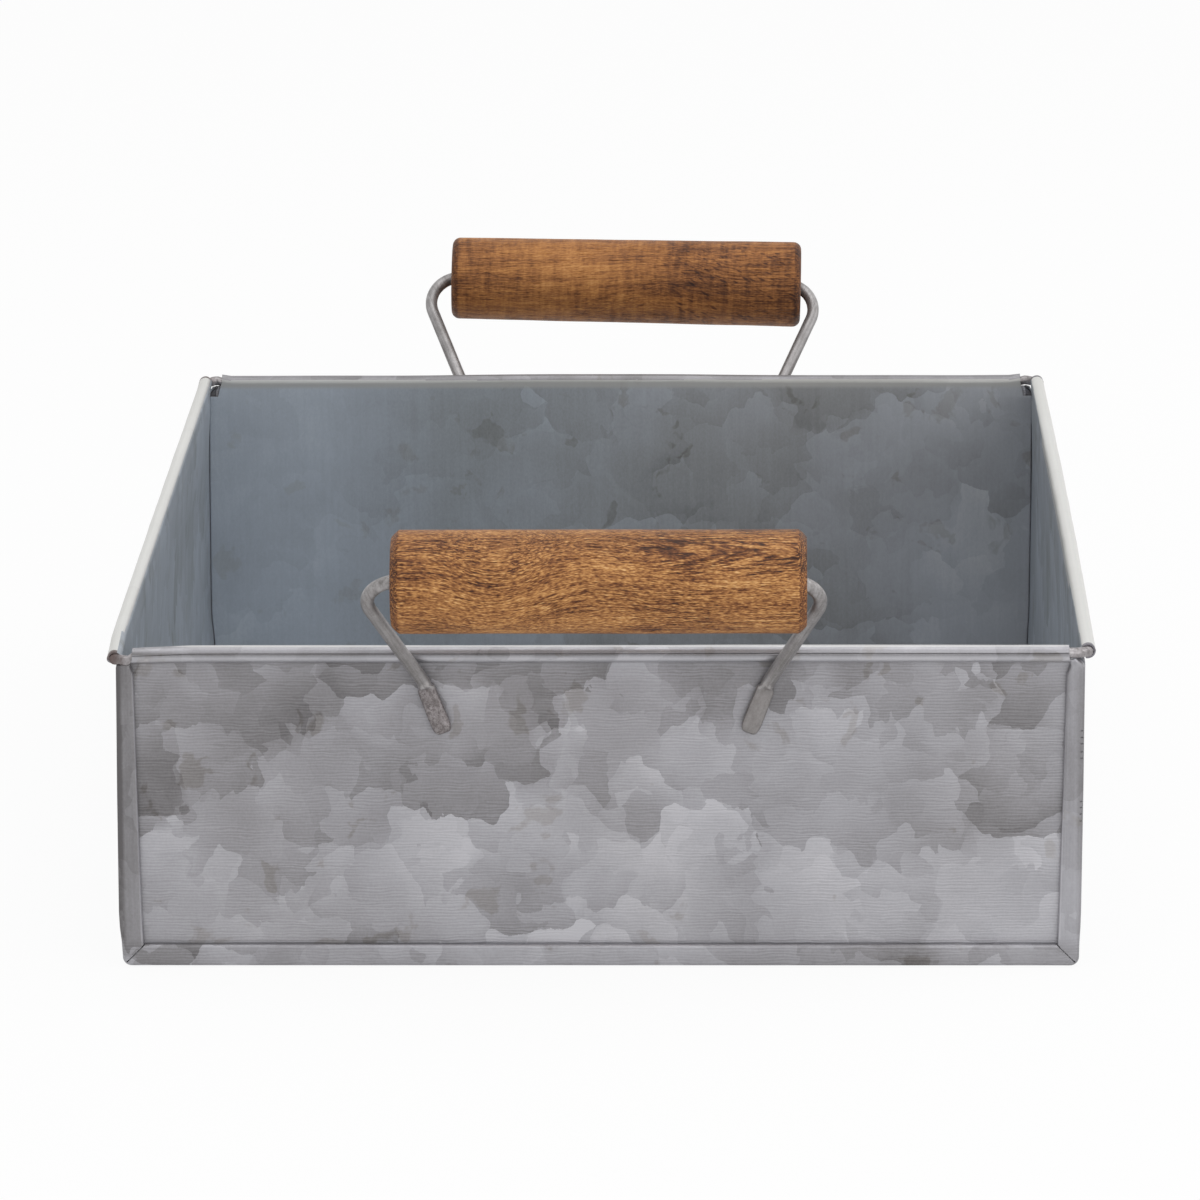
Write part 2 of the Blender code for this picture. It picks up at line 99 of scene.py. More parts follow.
# Wire handles
HANDLE_WIRE = 3.6 * MM
HANDLE_AXIS_OUT = 30.9 * MM
HANDLE_AXIS_UP = 24.2 * MM
HANDLE_BEND_INSIDE = 4.1 * MM
HANDLE_SHOULDER_BEND = 9.2 * MM
LEG_SPREAD = 17.6 * MM
HANDLE_KNEE_DOWN = 9.6 * MM
HANDLE_KNEE_BEND = 4.0 * MM
TAB_SPREAD = 5.5 * MM
TAB_FOOT_DOWN = 23.8 * MM
TAB_THICKNESS = 2.4 * MM
TAB_WIDTH = 5.1 * MM
TAB_TO_PANEL = 0.3 * MM
FRONT_HANDLE_ASIDE = -0.8 * MM
FRONT_GRIP_ASIDE = 1.5 * MM
BACK_HANDLE_TILT = math.radians(1.2)
BACK_HANDLE_ASIDE = 0.2 * MM
BACK_GRIP_ASIDE = 1.1 * MM

# Wooden grips
FRONT_GRIP_LENGTH = 107.3 * MM
FRONT_GRIP_DIAMETER = 26.9 * MM
BACK_GRIP_LENGTH = 108.5 * MM
BACK_GRIP_DIAMETER = 25.8 * MM
BORE_CLEARANCE = 0.5 * MM
GRIP_TO_WIRE = 0.3 * MM
MOUTH_RADIUS = 4.77 * MM
MOUTH_DEPTH = 6.6 * MM

# Small shapes that only show here
SIDE_ROLL_RADIUS = 1.71 * MM
SIDE_ROLL_FLARE = 0.1 * MM
LEFT_ROLL_IN = 0.85 * MM
LEFT_WALL_OUT = (0.9 * MM, 0.5 * MM)
RIGHT_WALL_OUT = (0.3 * MM, 1.1 * MM)
CORNER_SAG = 2.0 * MM
RIGHT_WALL_BOW = 0.6 * MM
LEFT_WALL_BOW = 0.15 * MM
PANEL_WAVE = 0.22 * MM
BACK_RIM_ARCH = 0.45 * MM
BACK_ARCH_X = -6 * MM
FOLD_PRESSED = 0.05 * MM
ROLL_WAVE = 0.12 * MM
SEAM_WAVE = 0.14 * MM
SEAM_PINCH = 0.3
SEAM_CROWN = 1.6 * MM
BACK_SEAM_RISE = 0.6 * MM
PINCH_ROUGHNESS = 0.2 * MM
PINCH_WAVE = 0.25 * MM
CRIMP_HEIGHTS = [64.4, 62.6, 60.9, 58.7, 57.0, 45.2, 43.6, 41.8, 39.9]
CRIMP_DEPTH = 0.4 * MM
CRIMP_HALF_WIDTH = 0.3 * MM
FRONT_GRIP_CHAMFER = 2.1 * MM
BACK_GRIP_CHAMFER = 1.0 * MM
BACK_GRIP_CONE = 0.27 * MM
GRIP_EDGE_ROUND = 2.4 * MM
TAB_ROUGHNESS = (0.13 * MM, 0.05 * MM)
WIRE_UNEVENNESS = 0.03 * MM

# Half width and half thickness along a tab from its foot, as shares of the full ones
TAB_SHAPE = (
    (0.0, 0.52, 0.55), (0.015, 0.66, 0.78), (0.04, 0.78, 0.92), (0.08, 0.88, 0.98), (0.13, 0.95, 1.0),
    (0.2, 1.0, 1.0), (0.35, 1.0, 1.0), (0.5, 0.99, 1.0), (0.65, 0.97, 1.0), (0.8, 0.95, 1.0),
    (0.92, 0.94, 1.0),
)
TAB_SQUARENESS = 4.5
TAB_NECK = ((0.955, 0.35), (0.98, 0.8), (1.0, 1.0))
TAB_NECK_WIDTH = 0.94

# Edge of the front grip in millimetres: the way in from its end and below its surface
FRONT_GRIP_EDGE = ((0, 2.1), (0.12, 1.8), (0.945, 0.882), (1.8, 0.14), (2.1, 0.02), (2.4, 0))

# Fineness of the meshes
ROLL_STEPS = 24
LIP_STEPS = 10
FOLD_STEPS = 12
BEND_STEPS = 6
CORNER_STEPS = 8
GRID_STEP = 8 * MM
RIM_WIRE_SIDES = 16
RIM_BEND_STEPS = 10
EDGE_ANGLE = 35
HANDLE_EDGE_ANGLE = 40
HANDLE_WIRE_SIDES = 24
GRIP_SIDES = 72

# Derived places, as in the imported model
HALF_WIDTH = BODY_WIDTH / 2
LAYER = SHEET + FOLD_GAP
PANEL_OUT = -SHEET / 2
HOOK_OUT = PANEL_OUT + LAYER
FLANGE_OUT = HOOK_OUT + LAYER
COVER_OUT = FLANGE_OUT + LAYER
SEAM_THICKNESS = COVER_OUT + SHEET / 2
FOLD_RADIUS = LAYER
PANEL_FACE = BODY_LENGTH / 2 - SEAM_THICKNESS
COVER_IN = SHEET / 2 + SEAM_BEND
COVER_FOLD_IN = SEAM_WIDTH - SHEET / 2 - FOLD_RADIUS
HOOK_EDGE_IN = COVER_FOLD_IN - HOOK_LENGTH
FLANGE_EDGE_IN = COVER_FOLD_IN + FOLD_RADIUS - SHEET / 2 - FLANGE_CLEARANCE
FLANGE_FOLD_IN = SEAM_DRAW + SHEET + FOLD_PRESSED + SHEET / 2 + FOLD_RADIUS
ROLL_RADIUS = RIM_WIRE / 2 + ROLL_GAP + SHEET / 2
RIM_WIRE_OUT = -SHEET / 2 + ROLL_RADIUS
RIM_WIRE_DOWN = ROLL_RADIUS + SHEET / 2
RIM_AXIS_UP = WALL_HEIGHT - RIM_WIRE_DOWN
ROLL_BOTTOM = RIM_AXIS_UP - ROLL_RADIUS - RIM_LIP_FLARE - SHEET / 2
SEAM_TOP = RIM_AXIS_UP - RIM_WIRE / 2 - RIM_TO_SEAM
SEAM_NARROWED = ROLL_BOTTOM - RIM_TO_SEAM
SEAM_END_NARROWING = 0.5 * (SEAM_WIDTH - SEAM_TAPER - (END_NOTCH_WIDTH - RIM_TO_SEAM))
NECK_START = WALL_HEIGHT - RIM_NECK_DROP
WIRE_OUT = TAB_TO_PANEL + HANDLE_WIRE / 2
TAB_OUT = TAB_TO_PANEL + TAB_THICKNESS / 2
LEG = Vector((LEG_SPREAD, HANDLE_AXIS_OUT - WIRE_OUT, HANDLE_AXIS_UP + HANDLE_KNEE_DOWN))
LEG_WAY = tuple(Vector((LEG.x, -LEG.y, LEG.z)).normalized())
SHOULDER_HALF_ANGLE = math.acos(LEG.x / LEG.length) / 2
SHOULDER_OUT = HANDLE_SHOULDER_BEND / math.tan(SHOULDER_HALF_ANGLE) - HANDLE_BEND_INSIDE
GRIP_BORE = HANDLE_WIRE + 2 * BORE_CLEARANCE
GRIP_DROP = BORE_CLEARANCE - GRIP_TO_WIRE


def linear(*colour):
    """A colour written as it looks on a screen, as the linear values that shaders take."""
    return tuple(c / 12.92 if c <= 0.04045 else ((c + 0.055) / 1.055) ** 2.4 for c in colour) + (1,)


# Colours as they look on a screen: shades from dark to light, and where each stands between the ends
ZINC_STOPS = (0.0, 0.3, 0.5, 0.7, 1.0)
OUTSIDE = (
    (0.40, 0.39, 0.395), (0.515, 0.509, 0.518), (0.58, 0.575, 0.59),
    (0.635, 0.632, 0.65), (0.72, 0.717, 0.735),
)
# Inside the tray: a lighter, bluer copy of the outside shades, painted light on faces that the walls shade
INSIDE = (
    (0.42, 0.43, 0.44), (0.55, 0.57, 0.585), (0.615, 0.64, 0.67), (0.67, 0.70, 0.735), (0.78, 0.81, 0.83),
)
WOOD_STOPS = (0.0, 0.28, 0.5, 0.7, 1.0)
FRONT_WOOD = (
    (0.19, 0.1, 0.05), (0.41, 0.235, 0.12), (0.605, 0.405, 0.225), (0.755, 0.545, 0.32), (0.89, 0.72, 0.5),
)
BACK_WOOD = (
    (0.17, 0.08, 0.037), (0.36, 0.205, 0.095), (0.56, 0.357, 0.187), (0.69, 0.467, 0.25), (0.80, 0.59, 0.365),
)
WIRE_STOPS = (0.15, 0.85)
HANDLE_STEEL = ((0.45, 0.435, 0.43), (0.68, 0.67, 0.67))
RIM_STEEL = ((0.42, 0.4, 0.4), (0.66, 0.645, 0.65))
RIM_BROWN = (0.33, 0.25, 0.23)

# Zinc, in millimetres: a patch's size and lobes, tone, rise, slant and softness
ZINC_PATCHES = ((33, 8.0, 0.28, 0.6, 1.3, 0.12), (16, 4.6, 0.2, 0.35, 1.0, 0.0))
LINE_PITCH = 0.85
ROLL_FOOT = 83.4
ROLL_GROOVE = 85.5
WALL_X = HALF_WIDTH / MM
FACE_Y = PANEL_FACE / MM

# Wood, in millimetres: where the pith lies in the grip's Y and Z and how it leans, and swells of
# the grain as middle, reach and height along X; then the weights of what is drawn in it
FLAME_HEIGHT = 9.4
WOOD_VEINS = ((0.6, 0.05, 0.055, 0.7), (1.6, 0.04, 0.025, 0.9), (3.8, 0.03, 0.015, 1.0))
WOOD_PORES = ((1.0, 0.13, 1.5, 0.35), (1.5, 0.3, 1.6, 0.6))
FRONT_GRAIN = SimpleNamespace(
    pith=(14.2, -14.0), tilt=-0.018, swells=((-24, 22, -3.3), (-2, 30, 1.8)), spotted=None,
    tone=0.562, flecks=1.15, veins=0.38, pores=0.13, curl=0.08, flame=0.4,
)
BACK_GRAIN = SimpleNamespace(
    pith=(-36, 18), tilt=0.03, swells=((-10, 30, 2.0),), spotted=(-2, -22),
    tone=0.57, flecks=0.55, veins=0.17, pores=0.1, curl=0.5, flame=0,
)


def operation(kind, swapped=False):
    """A method that adds the node for an operation on a field and what it is given."""

    def method(*parts):
        return parts[0].nodes.combine(kind, *(parts[::-1] if swapped else parts))

    return method


class Field:
    """A number, vector or colour that varies over a surface; arithmetic on it adds nodes."""

    __add__ = operation("ADD")
    __radd__ = operation("ADD", swapped=True)
    __sub__ = operation("SUBTRACT")
    __rsub__ = operation("SUBTRACT", swapped=True)
    __mul__ = operation("MULTIPLY")
    __abs__ = operation("ABSOLUTE")
    dot = operation("DOT_PRODUCT")
    length = operation("LENGTH")
    sine = operation("SINE")
    lower_of = operation("MINIMUM")
    higher_of = operation("MAXIMUM")

    def __init__(self, nodes, socket):
        self.nodes = nodes
        self.socket = socket
        self.is_vector = socket.type != "VALUE"

    def clamped(self):
        """Limits the sum that made this field to 0 to 1."""
        self.socket.node.use_clamp = True
        return self


class Nodes:
    """Writes a node tree as expressions."""

    def __init__(self, tree):
        self.tree = tree

    def add(self, kind, *inputs, **settings):
        """Adds a node; inputs fill its first sockets in their order."""
        node = self.tree.nodes.new(kind)
        for name, value in settings.items():
            setattr(node, name, value)
        for socket, value in zip(node.inputs, inputs):
            self.feed(socket, value)
        return node

    def feed(self, socket, value):
        if isinstance(value, Field):
            self.tree.links.new(value.socket, socket)
        elif socket.type == "RGBA":
            socket.default_value = linear(*value)
        elif socket.type == "VECTOR" and not isinstance(value, tuple):
            socket.default_value = (value, value, value)
        else:
            socket.default_value = value

    def fill(self, node, **inputs):
        for name, value in inputs.items():
            self.feed(node.inputs[name.replace("_", " ")], value)
        return node

    def output(self, node, name=0):
        return Field(self, node.outputs[name])

    def combine(self, operation, *parts):
        """A sum, product or the like, of vectors where one of the parts is a vector."""
        vectors = [p for p in parts if isinstance(p, tuple) or isinstance(p, Field) and p.is_vector]
        if not vectors:
            return self.output(self.add("ShaderNodeMath", *parts, operation=operation))
        node = self.add("ShaderNodeVectorMath", *parts, operation=operation)
        return self.output(node, "Value" if operation in ("DOT_PRODUCT", "LENGTH") else "Vector")

    def split(self, vector):
        node = self.add("ShaderNodeSeparateXYZ", vector)
        return [self.output(node, axis) for axis in "XYZ"]

    def joined(self, *parts):
        return self.output(self.add("ShaderNodeCombineXYZ", *parts))

    def noise(self, place, size, detail=2.0, roughness=0.5, colour=False):
        """Soft noise about zero, with features about size millimetres wide."""
        node = self.add("ShaderNodeTexNoise")
        self.fill(node, Vector=place, Scale=1 / size, Detail=detail, Roughness=roughness)
        return self.output(node, 1) - (0.5, 0.5, 0.5) if colour else self.output(node) - 0.5

    def cells(self, place, size, soft=0.0):
        node = self.add("ShaderNodeTexVoronoi", feature="SMOOTH_F1" if soft else "F1")
        self.fill(node, Vector=place, Scale=1 / size)
        if soft:
            self.fill(node, Smoothness=soft)
        return {name: self.output(node, name) for name in ("Distance", "Color", "Position")}

    def step(self, value, low, high):
        """0 at low, 1 at high, smooth between; low may be the greater."""
        return self.output(self.add("ShaderNodeMapRange", value, low, high, interpolation_type="SMOOTHSTEP"))

    def ramp(self, value, stops, shades):
        node = self.add("ShaderNodeValToRGB", value)
        elements = node.color_ramp.elements
        while len(elements) < len(stops):
            elements.new(0.5)
        for element, position, shade in zip(elements, stops, shades):
            element.position = position
            element.color = linear(*shade)
        return self.output(node)

    def mix(self, share, first, second, blend="MIX"):
        node = self.add("ShaderNodeMix", share, data_type="RGBA", blend_type=blend)
        self.feed(node.inputs[6], first)
        self.feed(node.inputs[7], second)
        return self.output(node, 2)

    def seen(self):
        """1 for the camera's rays, also where metal or glass turns them."""
        path = self.add("ShaderNodeLightPath")
        rays = [self.output(path, f"Is {kind} Ray") for kind in ("Camera", "Glossy", "Transmission")]
        return rays[0].higher_of(rays[1]).higher_of(rays[2])


class Shader(Nodes):
    """A material; lengths in its expressions are in millimetres."""

    def __init__(self, name, shift=(0, 0, 0)):
        self.material = bpy.data.materials.new(name)
        self.material.use_nodes = True
        super().__init__(self.material.node_tree)
        self.principled = self.tree.nodes["Principled BSDF"]
        self.raw = self.output(self.add("ShaderNodeTexCoord"), "Object") * (1 / MM)
        self.place = self.raw + shift

    def bump(self, height, distance, strength):
        node = self.fill(self.add("ShaderNodeBump"), Strength=strength, Distance=distance, Height=height)
        self.fill(self.principled, Normal=self.output(node))

    def finish(self, **inputs):
        self.fill(self.principled, **inputs)
        return self.material


def zinc(name, shift, island_depth, contrast):
    """A zinc coating's shader, the tone of its torn crystal patches, its dull islands and its grit."""
    s = Shader(name, shift)
    slow = s.noise(s.place, 16, colour=True)
    fine = s.noise(s.place, 2.4, 5, 0.7, colour=True)
    bent = s.place + slow * 16.0 + fine * 1.6
    tone = 0.0
    for size, lobe, flat, rise, slant, softness in ZINC_PATCHES:
        moved = bent + (size * 7.3, size, size * 3.1)
        toward = (s.cells(moved, lobe)["Position"] - moved) * 0.8
        cells = s.cells(moved + toward, size, softness)
        random = cells["Color"] - (0.5, 0.5, 0.5)
        slope = (moved - cells["Position"]).dot(random * slant + (0.0, 0.0, rise))
        tone = slope * (0.8 / size) + random.dot((flat, 0.0, 0.0)) + tone
    islands = s.step(s.noise(bent + (31, 7, 53), 11, 3, 0.55), 0.13, 0.18)
    tone = (tone - islands * island_depth) * contrast
    mottle = s.noise(s.place, 45) + s.noise(bent, 11, 3, 0.55) * 0.5
    grit = s.noise(s.place * (1.0, 1.0, 0.6), 0.6, 3, 0.75)
    return s, tone, islands, mottle * 0.3 + grit * 0.24


def zinc_colour(s, tone, islands, shades):
    """From dark to light shades, warmer on the islands and in broad clouds."""
    colour = s.ramp(tone + 0.5, ZINC_STOPS, shades)
    clouds = s.noise(s.place + (8, 90, 44), 60, 1) * 0.5
    return s.mix((islands * 0.5 + clouds).clamped(), colour, (1.0, 0.985, 0.955), "MULTIPLY")


def zinc_finish(s, colour, tone, lines, metallic):
    s.bump(lines + tone * 0.5, 0.08 * MM, 0.3)
    return s.finish(Base_Color=colour, Roughness=(0.48 + tone * -0.22).clamped(), Metallic=metallic)


def level_lines(s, z):
    """Fine wiped lines that sway a little, strong in some bands and faint in others."""
    sway = s.noise(s.place * (1.0, 1.0, 0.5), 11)
    ragged = s.noise(s.place * (0.2, 0.2, 1.0), 1.6, 2, 0.6) * 1.4
    phase = (z + sway + ragged) * (2 * math.pi / LINE_PITCH)
    strength = (0.45 + s.noise(s.place * (0.15, 0.15, 1.0), 2.6, 2, 0.6) * 1.6).clamped()
    return phase.sine() * (strength * 0.7)


def outer_zinc(name, shift, seams=False):
    """Zinc of the tray's outside, wiped level, with its rolled rim and its seams in tones of their own,
    partly painted light and shade.
    """
    s, tone, islands, grain = zinc(name, shift, 0.32, 0.44)
    x, y, z = s.split(s.raw)
    lines = level_lines(s, z)
    rim = s.step(z, ROLL_FOOT - 0.5, ROLL_FOOT)
    back = s.step(y, 100, 150)
    lip_floor_reflection = rim * s.step(z, ROLL_GROOVE, ROLL_GROOVE - 0.4)
    groove = s.step(abs(z - ROLL_GROOVE), 0.9, 0.3)
    # The rim is calmer; painted light lightens it from above, and more below its groove as a reflection of
    # the bright floor; painted shade darkens its groove and its back
    tone = tone * (1.0 - rim * 0.45) + rim * 0.16
    tone = tone + lip_floor_reflection * 0.3 - groove * 0.26 - rim * back * 0.28
    lines = lines * (1.0 - rim * 0.7)
    # Seams are wiped upright, lighter along the fold as wear and a painted highlight on its round edge, and
    # darker along the bend
    if seams:
        strips = s.step(abs(y), FACE_Y + 0.4, FACE_Y + 0.8)
        upright = strips * s.step(z, 4.5, 9.0)
        wiped = s.noise(s.place * (1.0, 1.0, 0.04), 0.9, 2, 0.6) * 1.2
        lines = lines * (1.0 - upright * 0.9) + wiped * upright
        inward = (WALL_X - abs(x)).lower_of(z)
        taper = z.lower_of(80.0) * (SEAM_TAPER / MM / 80)
        fold_wear_and_highlight = s.step(abs(SEAM_WIDTH / MM - 0.4 - taper - inward), 0.5, 0.1) * upright
        dull = s.step(inward, 1.6, 0.3) * upright
        left = s.step(x, -110, -122)
        right = s.step(x, 110, 122)
        ends = s.step(z, 77, 79) * (1.0 - rim) * strips * back
        tone = tone * (1.0 - upright * 0.5) - strips * 0.16 + fold_wear_and_highlight * 0.3 - dull * 0.15
        # Painted shade darkens the left strip and its bend, painted light lightens the right strip; the back
        # seams' upper ends are lighter
        tone = tone - strips * left * 0.09 - dull * left * 0.2 + upright * right * 0.12 + ends * 0.5
    # Painted light towards the foot of the walls, as a reflection of the bright floor, and painted shade on
    # the left of the front
    tone = tone + grain + lines * 0.19 + s.step(z, 84, 4) * 0.26
    tone = tone - s.step(x, -45, -110) * s.step(y, -150, -170) * 0.1
    colour = zinc_colour(s, tone, islands, OUTSIDE)
    # A painted highlight along the very top of the rim, weaker at the back
    crest_highlight = s.step(z, 87.3, 87.45) * (0.5 - back * 0.45)
    colour = s.mix(crest_highlight, colour, (0.88, 0.88, 0.87))
    # The rim is pale along both sides as a painted reflection of the bright light above, and stained at its
    # corners
    if seams:
        roll = s.step(abs(x), WALL_X - 1.5, WALL_X) * rim
        pale = roll * s.step(abs(y), FACE_Y - 1.8, FACE_Y - 2.6)
        stain = s.mix(left, (0.36, 0.34, 0.37), (0.33, 0.25, 0.22))
        colour = s.mix(pale * 0.85, colour, (0.85, 0.85, 0.835))
        colour = s.mix((roll - pale).clamped() * 0.75, colour, stain)
    return zinc_finish(s, colour, tone, lines, 0.7)


def inner_zinc(name, shift, contrast, end_panel=False):
    """Zinc of the tray's inside, wiped upright; the end panels are calm and bluish on their left, with
    painted shade on their right, painted light towards both sides and a band of painted shade under the rim.
    """
    s, tone, islands, grain = zinc(name, shift, 0.7 if end_panel else 0.32, contrast)
    x, _, z = s.split(s.raw)
    lines = s.noise(s.place * (1.0, 1.0, 0.04), 1.5, 3, 0.6) * 0.8
    if end_panel:
        # Painted shade darkens the end panels on their right; painted light lightens them towards both sides
        right = s.step(x, -75, 60)
        tone = tone * (0.25 + s.step(x, -75, 10) * 0.3) - right * 0.05
        tone = tone + s.step(abs(x), 55, 105) * 0.3 - 0.11
    tone = tone + grain + lines * 0.19
    colour = zinc_colour(s, tone, islands, INSIDE)
    if end_panel:
        # Painted shade: warmer on the right, and a plain grey band under the rim where the inner face turns
        # up to the light
        colour = s.mix(right, colour, (1.0, 0.972, 0.952), "MULTIPLY")
        colour = s.mix(s.step(z, 83.5, 85.0) * 0.8, colour, (0.65, 0.645, 0.63))
    return zinc_finish(s, colour, tone, lines, 0.45)


def drawn_wire(name, shades, rough, tabs=False, brown=None):
    """Drawn steel wire, streaked along the handles' legs; the left tab is hammered, the right one smooth."""
    s = Shader(name)
    x, y, z = s.split(s.raw)
    patches = s.noise(s.place, 5)
    specks = s.noise(s.place, 0.55, 3, 0.75)
    folded = s.joined(abs(x), y, z)
    thin = folded - folded.dot(LEG_WAY) * 0.95 * LEG_WAY
    tone = patches * 0.5 + specks * 0.6 + 0.5 + s.noise(thin, 1.3, 3, 0.6) * 1.5
    height = specks
    if tabs:
        low = s.step(z, -11.0, -12.0)
        left = s.step(x, 5.0, -5.0)
        rough_tab = low * (0.25 + left * 0.75)
        hammered = s.noise(s.place, 0.6, 3, 0.7)
        pits = s.step(hammered, -0.02, -0.12)
        tone = tone - low * 0.06 - pits * rough_tab * 0.6
        height = specks + hammered * rough_tab * 3.0
    colour = s.ramp(tone, WIRE_STOPS, shades)
    if tabs:
        colour = s.mix(low * left * 0.7, colour, (0.88, 0.85, 0.86), "MULTIPLY")
        colour = s.mix(low * (1.0 - left) * 0.7, colour, (0.5, 0.485, 0.48))
    if brown:
        colour = s.mix(s.step(x, 3 - WALL_X, -1 - WALL_X) * 0.75, colour, brown)
    s.bump(height, 0.08 * MM, 0.5)
    return s.finish(Base_Color=colour, Roughness=rough + patches * -0.3, Metallic=0.6)


def wood_veins(s, bent):
    """Thin dark lines of three sizes along the grain, strong in some places only."""
    veins = 0.0
    for size, stretch, width, weight in WOOD_VEINS:
        ridge = abs(s.noise(bent * (stretch, 1.0, 1.0), size, 2, 0.55))
        veins = (s.step(ridge, width, 0.0) * weight).higher_of(veins)
    some = s.step(s.noise((bent + (5, 60, 9)) * (0.3, 1.0, 1.0), 9), -0.12, 0.1)
    return veins * (0.3 + some * 0.7)


def wood_pores(s, bent):
    """Short dark dashes of two sizes."""
    pores = 0.0
    for size, long, wide, share in WOOD_PORES:
        dashes = s.cells(bent * (long, wide, wide), size)
        chosen = s.step(dashes["Color"].dot((1.0, 0.0, 0.0)), share, share + 0.1)
        pores = (s.step(dashes["Distance"], 0.38, 0.12) * chosen).higher_of(pores)
    return pores


def wood_spots(s, bent, x):
    """Scattered dark spots that lean across the grain."""
    spots = s.cells((bent + s.joined(0.0, 0.0, x * -0.45)) * (0.5, 1.5, 1.5), 1.9)
    return s.step(spots["Distance"], 0.45, 0.2) * s.step(spots["Color"].dot((0.0, 1.0, 0.0)), 0.5, 0.7)


def wood_flame(s, lift, pith, x, across):
    """Nested V shapes at the right end, where the leaning layers are cut at a slant."""
    depth = ((s.raw + lift * (0.0, 1.5, 0.0) - (0.0, *pith)) * (0.0, 1.0, 1.0)).length()
    depth = depth + s.noise(s.place * (0.15, 1.0, 1.0), 1.6, 2, 0.6) * 0.12
    nested = s.noise(s.joined(depth, x * 0.012, across * 0.01), 0.16, 1)
    return s.step(abs(nested), 0.1, 0.0) * s.step(abs(across - FLAME_HEIGHT), 7, 3.5) * s.step(x, 0, 22)


def wood(name, shift, shades, half_length, grain):
    """Oiled hardwood, its grain along X: wavy growth layers about a leaning pith, fibres, pores and curl."""
    s = Shader(name, shift)
    x, _, _ = s.split(s.raw)
    raised = 0.0
    for centre, reach, height in grain.swells:
        raised = s.step(abs(x - centre), reach, 0.0) * -height + raised
    lift = s.joined(0.0, x * -grain.tilt, raised)
    sway = s.noise(s.place * (0.5, 1.0, 1.0), 20, 1, colour=True) * (0.0, 1.0, 3.6)
    wobble = s.noise(s.place * (0.3, 1.0, 1.0), 4.0, 2, 0.6, colour=True) * (0.0, 0.4, 0.9)
    bent = s.raw + lift + sway + wobble
    across = s.split(bent)[2]
    depth = ((bent - (0.0, *grain.pith)) * (0.0, 1.0, 1.0)).length()
    rings = s.noise(s.joined(depth, x * 0.035, across * 0.1) + shift, 0.6, 3, 0.6)
    fibre = s.noise(bent * (0.035, 1.0, 1.0), 0.45, 3, 0.7)
    flecks = s.noise(bent * (0.24, 1.0, 1.0), 0.3, 1)
    streak = s.noise(bent * (0.05, 1.0, 1.0), 2.4, 2, 0.55)
    cloud = s.noise(s.place * (0.35, 1.0, 1.0), 19)
    curl = s.noise(s.place * (1.0, 0.16, 0.16), 1.7, 2, 0.6)
    veins, pores = wood_veins(s, bent), wood_pores(s, bent)
    tone = grain.tone + rings * 0.3 + fibre * 0.8 + flecks * grain.flecks + streak * 0.35 + cloud * 0.4
    tone = tone - veins * grain.veins - pores * grain.pores + curl * grain.curl
    if grain.flame:
        tone = tone - wood_flame(s, lift, grain.pith, x, across) * grain.flame
    if grain.spotted:
        spotted = s.step(x, *grain.spotted)
        tone = tone - wood_spots(s, bent, x) * spotted * 0.25 - spotted * 0.07
    ends = s.step(abs(x), half_length - 2.3, half_length - 1.7)
    colour = s.ramp(tone - ends * 0.16, WOOD_STOPS, shades)
    s.bump(fibre * 0.5 - pores - veins * 0.7, 0.2 * MM, 0.6)
    return s.finish(Base_Color=colour, Roughness=0.55 + pores * 0.2, Metallic=0.0, Specular_IOR_Level=0.3)


def arc(centre, radius, start, end, steps):
    angles = [math.radians(start + (end - start) * i / steps) for i in range(steps + 1)]
    return [(centre[0] + radius * math.cos(a), centre[1] + radius * math.sin(a)) for a in angles]


def spread(low, high, step):
    """Evenly spaced values from low to high, about step apart."""
    count = max(1, round(abs(high - low) / step))
    return [low + (high - low) * i / count for i in range(count + 1)]


def circle(sides, offset=0.0):
    """The cosine and sine of evenly spaced turns."""
    turns = [2 * math.pi * (k + offset) / sides for k in range(sides)]
    return [(math.cos(turn), math.sin(turn)) for turn in turns]


def ease(value, low, high):
    share = min(max((value - low) / (high - low), 0), 1)
    return (1 - math.cos(math.pi * share)) / 2


def waves(x, y, z, size, seed):
    """Smooth noise between about -1 and 1."""
    return noise.noise(Vector((x / size + seed, y / size - seed, z / size + 2 * seed)))


def wall_out(x, y, z, rim, along):
    """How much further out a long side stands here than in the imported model."""
    low, high = RIGHT_WALL_OUT if x > 0 else LEFT_WALL_OUT
    bow = (RIGHT_WALL_BOW if x > 0 else LEFT_WALL_BOW) * (z / WALL_HEIGHT) ** 1.5 * along
    by_seam = ease(abs(y), PANEL_FACE - 12 * MM, PANEL_FACE - 1 * MM)
    set_in = rim * by_seam + ease(z, 50 * MM, 86 * MM) * (1 - by_seam)
    set_in = max(set_in, ease(abs(x), HALF_WIDTH + 0.1 * MM, HALF_WIDTH + 0.6 * MM))
    out = bow + (low + (high - low) * z / WALL_HEIGHT) * ease(z, 3 * MM, 14 * MM) * (1 - set_in)
    return out - LEFT_ROLL_IN * set_in if x < 0 else out


def rim_rise(x, y, corner, at_end):
    """The rim's waves, its arch at the back and its sag at the front left corner."""
    rise = ROLL_WAVE * waves(x, y, 0, 38 * MM, 7.7) * corner
    if at_end and y > 0:
        rise += BACK_RIM_ARCH * (1 - ease(abs(x - BACK_ARCH_X), 12 * MM, 62 * MM))
    if x < 0 and y < 0:
        behind, beside = max(PANEL_FACE + y, 0), max(HALF_WIDTH + x, 0)
        sag = (1 - ease(behind, 1 * MM, 20 * MM)) * (1 - 0.68 * ease(beside, 1 * MM, 4 * MM))
        rise -= CORNER_SAG * sag * (1 - ease(beside, 3 * MM, 22 * MM))
    return rise


